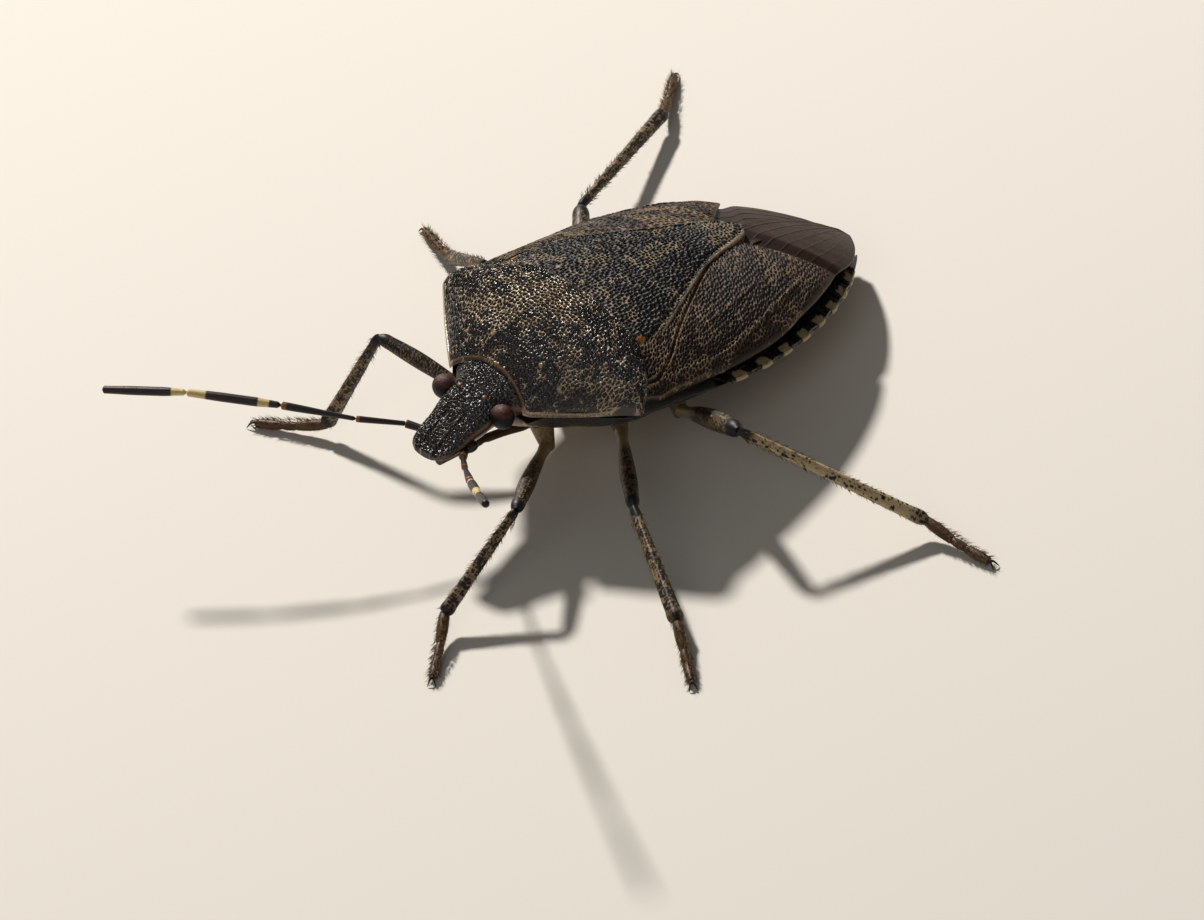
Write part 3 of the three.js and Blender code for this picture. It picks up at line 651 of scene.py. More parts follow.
def build_pronotum(spec):
    """The saddle from neck to shoulders, on the back: rows bowed between the middle line and the side."""
    rows, columns = 185, 465
    front_middle, length, length_over_skin = -2.12, 2.7, 2.8
    outline = curve_points(PRONOTUM_SIDE, rows)
    t = np.linspace(0, 1, rows)[:, None]
    s = crowded(columns)
    x = s * outline[:, :1]
    y = (1 - s**2) * (front_middle + length * t) + s**2 * outline[:, 1:]
    base = back(x, y)
    across, down = unrolled(x, y, base)
    side_gap = across[:, -1:] - np.abs(across)
    front_gap, rear_gap = length_over_skin * t, length_over_skin * (1 - t)
    pit, ridge = network(across, down, spec.pit_spacing, 11)
    callus = bell(np.abs(x) - 0.85, 0.45) * bell(y + 1.58, 0.17)
    shoulder = bell(np.abs(x) - 3.3, 0.45) * bell(y + 0.5, 0.45)
    furrow = bell(y + 1.02 + 0.05 * x**2, 0.14) * smooth_step(3 - np.abs(x), 0, 1)
    rim = np.minimum(np.minimum(side_gap, front_gap), rear_gap)
    calm = smooth_step(rim, 0.02, 0.12) * (1 - 0.5 * callus)
    moles = sum(spot(x, y, place, 0.075, 1.7) for place in MOLES)
    upper = (
        base
        + 0.06 * callus
        + 0.09 * shoulder
        - 0.05 * furrow
        + 0.03 * bell(x, 0.07) * smooth_step(y, -1.9, -1.2)
        + spec.pit_depth * calm * (ridge - 0.9 * pit) * (1 - 0.6 * moles)
        + 0.04 * moles
        + 0.08 * (patches(across, down, 0.45, 17) - 0.5) * calm
        - bevel(rim, 0.04)
    )
    lower = np.maximum(edge_height(y) - 0.06, base - 0.1 - 0.25 * smooth_step(t, 0, 0.15))
    blotch = patches(across, down, 0.75, 23)
    speck = patches(across, down, 0.22, 27)
    disc = bell(x + 0.1, 2.2) * bell(y + 0.8, 0.9)
    amount = 0.13 + 0.24 * disc + 0.4 * (blotch - 0.5) + 0.9 * (speck - 0.5) - 0.12 * bell(y + 1.75, 0.35)
    line = bell(side_gap - 0.03, 0.03) * smooth_step(-0.7 - y, 0, 0.4)
    tooth = spot(np.abs(x), y, (1.4, -2.36), 0.07)
    collar = bell(front_gap - 0.03, 0.028)
    make_plate(
        "pronotum_saddle", (x, y, upper, lower), "pitted_back_cuticle", "dark_cuticle", ["pronotum"],
        pale=strongest(worm_lines(ridge, amount), 1.2 * line, tooth, moles, 0.4 * collar),
        pit=pit * calm * (1 - moles),
        warm=np.clip(0.5 * collar + 0.5 * moles + 0.2 * blotch, 0, 1),
    )


def build_scutellum(spec):
    """The long shield: its width by the shield's stations, its height on the back with a raised middle."""
    rows, columns = 361, 257
    front, length = 0.15, 6.15
    t = np.linspace(0, 1, rows)[:, None]
    s = np.linspace(-1, 1, columns)[None, :]
    centre = front + length * t**0.95
    width = shield_half_width(centre)
    x = s * width
    y = centre + 0.12 * s**2 * (1 - t)
    base = back(x, y)
    across, down = unrolled(x, y, base)
    pit, ridge = network(across, down, spec.pit_spacing * 1.08, 31)
    side_gap = (1 - np.abs(s)) * width
    rim = np.minimum(side_gap, length * (1 - t))
    calm = smooth_step(rim, 0.02, 0.1)
    tongue = smooth_step(y, 3.9, 5.0)
    upper = (
        base
        - 0.02
        + 0.1 * smooth_step(y, 0.9, 2.4)
        + 0.06 * (1 - s**2) * smooth_step(y, 0.7, 1.6)
        - 0.2 * (1 - smooth_step(y, 0.35, 0.6))
        - 0.05 * bell(side_gap - 0.16, 0.07) * calm
        + 0.8 * spec.pit_depth * calm * (ridge - 0.9 * pit) * (1 - 0.4 * tongue)
        + 0.07 * (patches(across, down, 0.5, 37) - 0.5) * calm
        - bevel(rim, 0.05)
    )
    lower = base - 0.3
    blotch = patches(across, down, 0.9, 41)
    speck = patches(across, down, 0.25, 43)
    amount = 0.02 + 0.6 * (blotch - 0.5) + 0.9 * (speck - 0.5) + 0.25 * tongue + 0.1 * bell(y - 0.9, 0.4)
    margin = bell(side_gap - 0.03, 0.03) * (0.6 + 0.4 * smooth_step(speck, 0.35, 0.6))
    corner = spot(np.abs(x), y, (2.47, 0.64), 0.1)
    beads = sum(spot(np.abs(x), y, place, 0.07) for place in ((0, 0.8), (0.95, 0.82)))
    make_plate(
        "scutellum_shield", (x, y, upper, lower), "dull_shield_cuticle", "dark_cuticle", ["scutellum"],
        pale=strongest(worm_lines(ridge, amount), 0.85 * margin, beads, corner),
        pit=pit * calm * (1 - corner),
        warm=np.clip(1.4 * corner + 0.15 * blotch, 0, 1),
    )


def build_wing(side, name, spec):
    """Clavus and corium of a fore wing: columns from the shield's edge to the costal margin, on the back."""
    rows, columns = 425, 177
    t = np.linspace(0, 1, rows)[:, None]
    u = 1 - (1 - np.linspace(0, 1, columns)[None, :]) ** 1.25
    overlap = 0.12
    inner_y = 0.5 + 5.2 * t
    outer_y = -0.35 + 7.95 * t
    inner_x = np.maximum(shield_half_width(inner_y) - overlap, 0.1)
    width = costal_margin(outer_y) - inner_x
    y = inner_y + (outer_y - inner_y) * u
    x = inner_x + width * u
    base = back(x, y)
    across, down = unrolled(x, y, base)
    seam_gap = (x - claval_seam(y)) * 0.85
    near_root = smooth_step(4.2 - y, 0, 0.2)
    seam = bell(seam_gap, 0.03) * near_root
    beside = bell(np.abs(seam_gap) - 0.06, 0.025) * near_root
    fork = bell((u - 0.5 - 0.12 * (t - 0.4)) * 2.6, 0.05) * smooth_step(t, 0.1, 0.3)
    outer = bell((x - outer_vein(y)) * 0.9, 0.05)
    vein = np.maximum(outer, 0.5 * fork) * smooth_step(0.95 - t, 0, 0.15)
    pit, ridge = network(across, down, spec.pit_spacing * 1.05, 53 if side > 0 else 59)
    edge_gap = (1 - u) * width
    rim = np.minimum(edge_gap, 7 * (1 - t))
    calm = smooth_step(rim, 0.02, 0.1) * (1 - 0.8 * seam)
    upper = (
        base
        - 0.06 * (1 - smooth_step(y, 0.2, 0.7))
        - 0.05 * smooth_step(t, 0.9, 1)
        - 0.05 * seam
        + 0.02 * beside
        + 0.04 * vein
        + 0.6 * spec.pit_depth * calm * (ridge - 0.9 * pit)
        + 0.05 * (patches(across, down, 0.6, 61) - 0.5) * calm
        - bevel(rim, 0.05)
    )
    lower = base - 0.1 - 0.2 * (1 - u)
    blotch = patches(across, down, 0.9, 67 if side > 0 else 71)
    speck = patches(across, down, 0.22, 73)
    amount = 0.09 + 0.5 * (blotch - 0.5) + 1.0 * (speck - 0.5) + 0.2 * vein + 0.05 * (1 - u)
    edge_line = 0.5 * bell(edge_gap - 0.03, 0.03) * smooth_step(2.6 - y, 0, 1)
    tanned = smooth_step(t, 0.7, 1.0) * smooth_step(u, 0.35, 0.9)
    make_plate(
        f"corium_{name}", (side * x, y, upper, lower), "leathery_wing_cuticle", "wing_leather",
        [f"wing_{name}"],
        pale=strongest(worm_lines(ridge, amount), 0.6 * beside, edge_line),
        pit=pit * calm,
        warm=np.clip(0.3 * tanned + 0.3 * seam + 0.3 * blotch, 0, 1),
    )


def build_membrane(side, name):
    """The wing's thin rear part: rows between the lap line and the rim, its veins cosine ridges across."""
    rows, columns = 121, 201
    veins = 7
    lap = 0.0 if side > 0 else 1.0
    seam = curve_points(
        [((0.2 + 0.5 * lap, 5.25), (-0.95 + 1.3 * lap, 8.1), (-0.3 + 0.35 * lap, 10.02 - 0.1 * lap))], rows
    )
    rim_line = curve_points([((side * 2.2, 7.1), (side * 2.1, 8.85), (side * 0.2 - 0.05, 10.04))], rows)
    u = np.linspace(0, 1, columns)[None, :]
    t = np.linspace(0, 1, rows)[:, None]
    x = seam[:, :1] + (rim_line[:, :1] - seam[:, :1]) * u
    y = seam[:, 1:] + (rim_line[:, 1:] - seam[:, 1:]) * u
    wave = np.maximum(0, np.cos(2 * np.pi * veins * (u - 0.07 + 0.05 * t * (u - 0.5)))) ** 10
    rim = (1 - u) * np.abs(rim_line[:, :1] - seam[:, :1])
    upper = (
        back(x, y)
        - 0.05
        - 0.06 * lap
        + 0.012 * wave * smooth_step(rim, 0.0, 0.25)
        + 0.03 * (patches(x, y, 0.5, 83) - 0.5)
        - 0.12 * (1 - smooth_step(t, 0.12, 0.24))
    )
    make_plate(
        f"wing_tip_{name}", (x, y, upper, upper - 0.06), "smoky_wing_membrane", "wing_film",
        [f"membrane_{name}"],
        pale=0.3 * patches(x, y, 0.9, 89) + 0.1 * smooth_step(t, 0.2, 1),
        pit=0.5 * (1 - smooth_step(t, 0.1, 0.45)) + 0.15 * wave,
        warm=0.2 + 0.2 * t,
    )


def build_connexivum(side, name):
    """The banded rim of the abdomen: a strip along the widest line, waved once and marked once a segment."""
    rows, columns = 313, 33
    wide = 0.75
    place = np.linspace(0, 1, rows)[:, None] * 6.2 + SEGMENTS[0][0]
    u = np.linspace(0, 1, columns)[None, :]
    y = place + 0 * u
    phase = np.interp(place, *zip(*SEGMENTS))
    scallop = 0.05 * np.abs(np.cos(np.pi * phase))
    x = half_width(y) - wide * (1 - u) - scallop * u
    groove = bell(phase - np.round(phase), 0.05)
    near, _, _ = cells(x, y, 0.1, 91)
    pit = 1 - smooth_step(near, 0.2, 0.42)
    upper = edge_height(y) - 0.06 - 0.03 * groove - 0.02 * pit - bevel((1 - u) * wide, 0.06)
    lower = edge_height(y) - 0.3 + 0.14 * u
    off_middle = np.abs(phase - np.floor(phase) - 0.5) + 0.15 * (patches(x, y, 0.2, 93) - 0.5)
    # The cream bands stop short of the strip's inner half, which is left black as painted shade under the
    # wing's edge.
    band = (1 - smooth_step(off_middle, 0.14, 0.28)) * smooth_step(u, 0.45, 0.7)
    speck = 0.35 * smooth_step(patches(x, y, 0.2, 97), 0.58, 0.7)
    make_plate(
        f"connexivum_band_{name}", (side * x, y, upper, lower), "banded_margin_cuticle", "banded_edge",
        [f"connexivum_{name}"],
        pale=np.clip(band + speck, 0, 1),
        pit=0.7 * pit * (1 - band) + 0.5 * groove,
    )


def build_underside(spec):
    """Belly and breast in one skin: the belly's arch with grooves between the rings and swollen leg bases."""
    rows, columns = 401, 193
    front, length = -2.25, 12.1
    t = np.linspace(0, 1, rows)[:, None]
    s = crowded(columns, 1.3)
    y = front + length * t + 0 * s
    reach = half_width(y) * np.where(y < SEGMENTS[0][0], 0.93, 0.985) - 0.02
    x = s * reach
    bow = y - 0.12 * np.abs(x) / half_width(y)
    groove = sum(bell(bow - ring, 0.045) for ring in BELLY_RINGS)
    breast = sum(bell(y - place - 0.15 * np.abs(s), 0.05) for place in (0.8, 2.55))
    breast *= smooth_step(np.abs(x), 0.5, 0.9)
    hips = sum(spot(np.abs(x), y, leg["hip"], 0.5) for leg in LEGS.values())
    base = belly(x, y)
    across, down = unrolled(x, y, base)
    pit, _ = network(across, down, spec.pit_spacing * 1.9, 101)
    near_end = smooth_step(9.85 - y, 0, 0.35) * smooth_step(y - front, 0, 0.3)
    lower = (
        base * near_end
        + (edge_height(y) - 0.35) * (1 - near_end)
        - 0.06 * hips
        + 0.06 * groove
        + 0.06 * breast
        + 0.02 * pit
    )
    upper = np.maximum(edge_height(y) - 0.32, lower + 0.02)
    across_share = np.abs(x) / half_width(y)
    spiracle = sum(spot(across_share, (y - ring - 0.45) / 3, (0.72, 0), 0.025) for ring in BELLY_RINGS[:-1])
    blotch = patches(across, down, 0.4, 103)
    # Painted shade: the breast's sides under the pronotum's margin and the wing bases are darkened with the
    # hollow colour.
    dark = smooth_step(np.abs(s) + 0.4 * (blotch - 0.5), 0.48, 0.7) * smooth_step(2.9 - y, 0, 0.3)
    make_plate(
        "underside_skin", (x, y, lower, upper), "straw_belly_cuticle", "pale_underside",
        ["prothorax", "metathorax", "abdomen"],
        pale=0.6 * patches(x, y, 0.5, 107),
        pit=np.clip(0.8 * pit + spiracle + 0.95 * dark + 0.3 * groove, 0, 1),
        warm=0.4 * groove + 0.3 * smooth_step(np.abs(s), 0.6, 1),
    )


def build_head(spec):
    """The head: upper and lower arches over a plan from tip to neck, with grooves, wrinkles and tubercles."""
    half, top, edge, under = (through(line) for line in (HEAD_HALF_WIDTH, HEAD_TOP, HEAD_EDGE, HEAD_UNDER))
    rows, columns = 233, 201
    length = 2.54
    t = np.linspace(0, 1, rows)[:, None] ** 1.1
    s = crowded(columns, 1.3)
    y = HEAD_TIP + length * t + 0 * s
    x = s * half(y)
    base = edge(y) + (top(y) - edge(y)) * arch(s, 3, 0.7)
    across, down = unrolled(x, y, base)
    tylus = bell(np.abs(x) - 0.25 - 0.02 * (y + 2), 0.03) * smooth_step(-1.0 - y, 0, 0.4)
    wobble = 0.2 * patches(across, down, 0.25, 113)
    wrinkle = np.sin(2 * np.pi * (down + wobble - 0.35 * np.abs(across)) / 0.11)
    pit, ridge = network(across, down, spec.pit_spacing * 0.95, 109)
    side_gap = (1 - np.abs(s)) * half(y)
    rim = np.minimum(side_gap, y - HEAD_TIP)
    calm = smooth_step(rim, 0.01, 0.07)
    upper = (
        base
        - 0.05 * tylus
        + calm * spec.pit_depth * (0.45 * wrinkle + 0.6 * ridge - 0.6 * pit)
        - bevel(rim, 0.04)
    )
    lower = edge(y) - 0.06 + (under(y) - edge(y) + 0.06) * arch(s, 2, 0.8)
    lines = bell(np.abs(x) - 0.16, 0.02) * smooth_step(-1.1 - y, 0, 0.3)
    blotch = patches(across, down, 0.35, 127)
    crests = smooth_step(wrinkle, 0.4, 1) * ridge * smooth_step(blotch, 0.5, 0.68)
    skull = plate(x, y, upper, lower)
    horns = [
        ball(TUBERCLE * [side, 1, 1] + [0, 0.03, 0], (0.13, 0.24, 0.14), 20, 28) for side in SIDES.values()
    ]
    points, faces = joined(skull, *horns)

    def skull_mask(mask, rest=0.0):
        shown = both_faces(mask)
        return np.concatenate([shown, np.full(len(points) - len(shown), rest)])

    masks = {
        "pale": skull_mask(np.clip(0.6 * crests + 0.5 * lines, 0, 1)),
        "pit": skull_mask(np.clip(pit * calm + 0.8 * tylus, 0, 1)),
        "warm": skull_mask(0.7 * bell(side_gap - 0.02, 0.03), 0.3),
    }
    make_piece(
        "head_capsule", (from_head(points), faces), "pitted_back_cuticle", ["head"], masks
    )
    for name, side in SIDES.items():
        eye, eye_faces = ball(np.array([side * 1.0, -0.68, -0.14]), (0.33, 0.3, 0.33), 60, 90)
        # The lower half is darkened to near black as painted shade, and the upper half is lightened as its
        # painted lit side.
        below = smooth_step(-eye[:, 2], -0.08, 0.08)
        make_piece(
            f"compound_eye_{name}", (from_head(eye), eye_faces), "faceted_eye_lens",
            [f"eye_{name}"], {"pit": below, "pale": 0.3 * (1 - below)},
        )
    domes = [
        ball(np.array([side * 0.42, -0.72, 0.19]), (0.075, 0.075, 0.06), 14, 20) for side in SIDES.values()
    ]
    points, faces = joined(*domes)
    make_piece(
        "ocelli", (from_head(points), faces), "straw_belly_cuticle", masks={"warm": 0.9}
    )


def build_rostrum():
    """The beak: four slender joints along a smooth line under the head and breast."""
    sides = 20
    front, rear = BEAK_LINE[0, 1], BEAK_LINE[-1, 1]
    at = np.linspace(front, rear, 120)
    path = np.stack([through(BEAK_LINE[:, [1, k]])(at) for k in range(3)], -1)
    share = (at - front) / (rear - front)
    joint = sum(bell(share - place, 0.02) for place in (0.28, 0.55, 0.78))
    radii = 0.14 * (1 - 0.45 * share) * (1 - 0.25 * joint) * np.sqrt(1 - smooth_step(share, 0.97, 1.01))
    points, faces = tube(path, np.maximum(radii, 0.01), np.array([0.0, 0, 1]), sides=sides)
    dark = np.append(np.repeat(smooth_step(share, 0.85, 0.98) + 0.4 * joint, sides), [0, 1])
    # The beak's brown finish is painted shade under the head and breast.
    make_piece(
        "rostrum_beak", (from_trunk(points), faces), "hip_cuticle_in_painted_shade",
        ["rostrum"], {"pit": np.clip(dark, 0, 1), "warm": 0.4},
    )


def link_tube(start, end, radius_at, sides, steps, up=(0, 0, 1), bow=0.0, **shape):
    """One straight or slightly bowed joint of a limb, its radius a function of the share along it."""
    share = np.linspace(0, 1, steps)
    path = start + (end - start) * share[:, None]
    path[:, 2] += bow * np.sin(np.pi * share)
    return share, *tube(path, radius_at(share), np.array(up, float), sides=sides, **shape)


def spread(values, sides):
    """A value for each ring of a tube, given to all its points and to its two end points."""
    return np.concatenate([np.repeat(values, sides), values[:1], values[-1:]])


def build_antenna(name, side):
    """A feeler of five joints, each a spindle, with ivory rings at the ends of the last two."""
    sides = 20
    root = from_head(TUBERCLE * [side, 1, 1] + [0, -0.2, 0])
    places = [root, *(np.array(p) for p in ANTENNA_JOINTS[name])]
    shells, pale, warm = [], [], []
    for k, (start, end, (thin, wide)) in enumerate(zip(places[:-1], places[1:], ANTENNA_RADII)):
        def radius(share, thin=thin, wide=wide, spindle=k > 2):
            close = np.sqrt(np.clip(np.minimum(share * 1.5, (1 - share) * 2.5) / 0.05, 0.1, 1))
            swell = smooth_step(share, 0, 0.3 if spindle else 1.0)
            return (thin + (wide - thin) * swell) * close * (1 - 0.15 * spindle * smooth_step(share, 0.6, 1))

        share, points, faces = link_tube(start, end, radius, sides, 90)
        shells.append((points, faces))
        ring, amber = np.zeros_like(share), np.zeros_like(share)
        if k < 3:
            amber = smooth_step(share, 0.9, 0.95)
        if k == 3:
            early = smooth_step(share, 0.1, 0.14) * (1 - smooth_step(share, 0.22, 0.27))
            ring = np.maximum(0.8 * early, smooth_step(share, 0.76, 0.83))
        if k == 4:
            ring = 1 - smooth_step(share, 0.13, 0.22)
        pale.append(spread(ring, sides))
        warm.append(spread(amber, sides))
    make_piece(
        f"feeler_{name}", joined(*shells), "feeler_cuticle", [f"antenna_{name}"],
        {"pale": np.concatenate(pale), "warm": np.concatenate(warm)},
    )


def spots(share, length, sides, spacing, seed, radius=0.25, least=0.1):
    """Dark spots on a limb, some run together: lattice cells sized by a cloud on its unrolled skin."""
    around = np.arange(sides) / sides * 2 * np.pi * radius
    along, across = np.meshgrid(share * length, around, indexing="ij")
    near, _, number = cells(across, along, spacing, seed, 0.7)
    size = least + 0.3 * number + 0.9 * (patches(across, along, spacing * 1.8, seed + 4) - 0.5)
    return np.concatenate([(1 - smooth_step(near, size, size + 0.12)).ravel(), [0, 0]])


def build_thigh(leg, root, hip, knee, stout, seed):
    """Coxa and femur: tubes with radii by stations, the femur mottled by the ridges of a network."""
    # The coxa's brown, darker than the straw underside, is painted shade under the trunk.
    share, points, faces = link_tube(
        root, hip + (hip - root) * 0.15, lambda p: 0.34 - 0.16 * p, LEG_SIDES, 30, up=(0, 1, 0)
    )
    make_piece(
        f"coxa_knob_{leg}", (points, faces), "hip_cuticle_in_painted_shade", [f"coxa_{leg}"],
        {"pale": 0.6, "pit": 0.5 * spots(share, 0.8, LEG_SIDES, 0.2, seed)},
    )
    thigh = through([
        (0, 0.15), (0.08, 0.17), (0.14, 0.15), (0.35, 0.22 * stout), (0.65, 0.27 * stout),
        (0.88, 0.23 * stout), (0.96, 0.2 * stout), (1, 0.08),
    ])
    girth = 1.6  # round the thigh's thick middle
    share, points, faces = link_tube(hip, knee, thigh, LEG_SIDES, 110, bow=0.08)
    along = np.repeat(share * np.linalg.norm(knee - hip), LEG_SIDES)
    around = np.tile(np.arange(LEG_SIDES) / LEG_SIDES * girth, len(share))
    _, veined = network(around, along, 0.09, seed + 3)
    amount = 0.3 + 1.2 * (patches(around, along, 0.3, seed + 4) - 0.4)
    light = np.append(worm_lines(veined, amount), [0, 0])
    dense = spread(smooth_step(share, 0.2, 0.45), LEG_SIDES)
    black = spread(0.8 * smooth_step(share, 0.9, 0.95), LEG_SIDES)
    pit = np.clip(dense * (1 - 0.75 * light) + black, 0, 1)
    make_piece(
        f"femur_spindle_{leg}", (points, faces), "mottled_leg_cuticle", [f"femur_{leg}"],
        {"pit": pit, "pale": 0.4 * (1 - dense), "warm": 0.3 * dense},
    )


def build_shin(leg, knee, ankle, speckled, seed):
    """Tibia: a fluted tube with radii by stations, either cream with few dark spots or dark with many;
    on the right hind leg the dark kind is painted shade.
    """
    spacing, least, dark_tone_and_shade, cream = (0.12, 0.05, 0.0, 0.8) if speckled else (0.085, 0.25, 0.15, 0.35)
    share, points, faces = link_tube(knee, ankle, through(SHIN_RADIUS), LEG_SIDES, 150, ridge=0.07)
    dots = spots(share, np.linalg.norm(ankle - knee), LEG_SIDES, spacing, seed + 5, 0.18, least)
    ends = np.maximum(1 - smooth_step(share, 0.03, 0.12), 0.5 * smooth_step(share, 0.85, 0.97))
    ends = spread(ends, LEG_SIDES)
    pit = np.clip(dots + 0.8 * ends + dark_tone_and_shade, 0, 1)
    make_piece(
        f"tibia_shaft_{leg}", (points, faces), "mottled_leg_cuticle", [f"tibia_{leg}"],
        {"pit": pit, "pale": cream * (1 - ends), "warm": 0.3 * ends},
    )


def build_foot(leg, ankle, toe):
    """Tarsus of three padded joints that bend down to the floor, and a pair of claws, each a falling arc."""
    drop = toe - ankle
    joints = [ankle + drop * [p, p, 1 - (1 - p) ** 2.2] for p in (0, 0.42, 0.64, 1.0)]
    shells = []
    for start, end, wide in zip(joints[:-1], joints[1:], (0.15, 0.12, 0.13)):
        def pad(p, wide=wide):
            swell = 0.72 + 0.28 * np.sin(np.pi * np.clip(p * 0.85 + 0.12, 0, 1))
            return wide * swell * np.where(p > 0.97, 0.6, 1)

        shells.append(link_tube(start, end, pad, 20, 30)[1:])
    make_piece(
        f"tarsus_foot_{leg}", joined(*shells), "golden_foot_cuticle", [f"tarsus_{leg}"],
        {"pale": 0.3},
    )

    ahead = drop * [1, 1, 0] / np.linalg.norm(drop[:2])
    aside = np.array([-ahead[1], ahead[0], 0])
    p = np.linspace(0, 1, 16)[:, None]
    claws = []
    for way in (1, -1):
        run = ahead + way * 0.5 * aside
        path = toe + run * (0.26 * p - 0.04) + [0, 0, 1] * (0.05 * np.sin(np.pi * p) - 0.13 * p**2)
        claws.append(tube(path, 0.04 * (1 - p[:, 0]) ** 0.7 + 0.006, np.array([0.1, 0.1, 1.0]), sides=10))
    make_piece(f"claws_{leg}", joined(*claws), "dark_claw_horn")


def build_leg(place, name, spec):
    """A leg from hip to claws on the joints of its stance, with its hairs."""
    side = SIDES[name]
    leg = f"{place}_{name}"
    hip = from_trunk(np.array(LEGS[place]["hip"]) * [side, 1, 1])
    root = from_trunk(np.array(LEGS[place]["hip"]) * [side * 0.9, 1, 1] + [0, -0.15, 0.75])
    knee, ankle, toe = (np.array(p, float) for p in LEGS[place][name])
    toe = np.append(toe, TOE_HEIGHT)
    seed = 200 + 10 * list(LEGS).index(place) + (side > 0)
    build_thigh(leg, root, hip, knee, 1.0 if place == "hind" else 0.8, seed)
    # The right hind shin takes the dark, many-spotted kind as painted shade of that back-lit leg; the left
    # hind one is cream.
    build_shin(leg, knee, ankle, place == "hind" and side > 0, seed)
    build_foot(leg, ankle, toe)
    random = np.random.default_rng(seed)
    shin_count = int(SHIN_HAIRS_PER_MM * np.linalg.norm(ankle - knee))
    shin_hairs = hairs(knee, ankle, 0.16, shin_count, spec.hair_length * 0.8, random)
    foot_hairs = hairs(ankle, toe, 0.11, FOOT_HAIRS, spec.hair_length, random)
    make_piece(
        f"leg_hairs_{leg}", joined(shin_hairs, foot_hairs), "golden_bristle", crease=180
    )


def hairs(start, end, radius, count, length, random):
    """Slender three-sided spikes that stand off a limb at random places and lean towards its end."""
    axis = (end - start) / np.linalg.norm(end - start)
    side = np.cross(axis, [0, 0, 1])
    side /= np.linalg.norm(side)
    over = np.cross(side, axis)
    share = random.uniform(0.03, 0.99, count)
    angle = random.uniform(0, 2 * np.pi, count)
    out = np.cos(angle)[:, None] * side + np.sin(angle)[:, None] * over
    foot = start + share[:, None] * (end - start) + out * radius * 0.9
    lean = 0.55 * out + random.uniform(0.5, 1.1, count)[:, None] * axis
    reach = length * random.uniform(0.6, 1.2, count)
    tip = foot + lean / np.linalg.norm(lean, axis=1, keepdims=True) * reach[:, None]
    tip[:, 2] = np.maximum(tip[:, 2], 0.02)
    first = np.cross(lean, axis)
    first /= np.linalg.norm(first, axis=1, keepdims=True)
    second = np.cross(lean, first)
    second /= np.linalg.norm(second, axis=1, keepdims=True)
    corners = (0, 2 * math.pi / 3, 4 * math.pi / 3)
    ring = [foot + HAIR_RADIUS * (math.cos(a) * first + math.sin(a) * second) for a in corners]
    points = np.stack([*ring, tip], 1).reshape(-1, 3)
    base = 4 * np.arange(count)[:, None]
    faces = np.concatenate([base + corner for corner in ([0, 1, 3], [1, 2, 3], [2, 0, 3], [2, 1, 0])])
    return points, [faces]


def link_object(name, data):
    """Puts data into the scene as an object at the origin."""
    thing = bpy.data.objects.new(name, data)
    bpy.context.scene.collection.objects.link(thing)
    return thing


def lay_floor(spec):
    """A flat square of matt card, as the stage that the bug stands on."""
    floor = bpy.data.meshes.new("floor")
    corners = [(i * FLOOR_REACH, j * FLOOR_REACH, 0) for i, j in ((-1, -1), (1, -1), (1, 1), (-1, 1))]
    floor.from_pydata(corners, [], [(0, 1, 2, 3)])
    paper = bpy.data.materials.new("matt_card_paper")
    paper.use_nodes = True
    shader = paper.node_tree.nodes["Principled BSDF"]
    shader.inputs["Base Color"].default_value = spec.floor_colour
    shader.inputs["Roughness"].default_value = 0.9
    floor.materials.append(paper)
    link_object("floor", floor)


def hang_lights(spec):
    """A pale dome, a small disc lamp on the photograph's sun side and a wide weak one in front."""
    world = bpy.data.worlds.new("dome")
    world.use_nodes = True
    background = world.node_tree.nodes["Background"]
    background.inputs["Color"].default_value = spec.dome_colour
    background.inputs["Strength"].default_value = spec.dome_strength
    bpy.context.scene.world = world
    bpy.context.scene.view_settings.view_transform = "Standard"

    target = Vector((ORIGIN + [0.5, 0, 1.5]) * MM)
    for name, way, distance, size, power in (
        ("key_lamp", KEY_SIDE, 0.3, 0.03, spec.key_power),
        ("front_lamp", FRONT_SIDE, 0.4, 0.25, spec.key_power * FRONT_SHARE),
    ):
        lamp = bpy.data.lights.new(name, "AREA")
        lamp.shape = "DISK"
        lamp.size = size
        lamp.energy = power
        lamp.color = spec.lamp_colour[:3]
        light = link_object(name, lamp)
        way = Vector(way).normalized()
        light.location = target + way * distance
        light.rotation_euler = way.to_track_quat("Z", "Y").to_euler()


def aim_camera():
    """The photograph's view: away, right and up follow from azimuth and elevation, then turn by the roll, and
    the focal length is scale times distance times sensor width over image width."""
    away = Vector((
        math.sin(AZIMUTH) * math.cos(ELEVATION), -math.cos(AZIMUTH) * math.cos(ELEVATION), math.sin(ELEVATION)
    ))
    right = Vector((math.cos(AZIMUTH), math.sin(AZIMUTH), 0))
    upward = away.cross(right)
    across = math.cos(ROLL) * right + math.sin(ROLL) * upward
    above = -math.sin(ROLL) * right + math.cos(ROLL) * upward
    aim = Vector(AIM) + AIM_RIGHT * across + AIM_UP * above + Vector(ORIGIN)
    camera = bpy.data.cameras.new("camera")
    camera.sensor_width = SENSOR_WIDTH
    camera.lens = PIXELS_PER_MM * CAMERA_DISTANCE / IMAGE_WIDTH * SENSOR_WIDTH
    camera.clip_start, camera.clip_end = 0.01, 5
    view = link_object("camera", camera)
    turned = Matrix((across, above, away)).transposed().to_4x4()
    view.matrix_world = Matrix.Translation((aim + away * CAMERA_DISTANCE) * MM) @ turned
    bpy.context.scene.camera = view


class ShieldBugSurface(bpy.types.PropertyGroup):
    """Sizes of the surface detail."""

    pit_spacing: FloatProperty(
        name="Pit spacing", description="Distance between pits, in mm", default=0.108, min=0.05
    )
    pit_depth: FloatProperty(
        name="Pit depth", description="Height of ridges over pits, in mm", default=0.03, min=0
    )
    hair_length: FloatProperty(
        name="Hair length", description="Length of leg hairs, in mm", default=0.2, min=0
    )


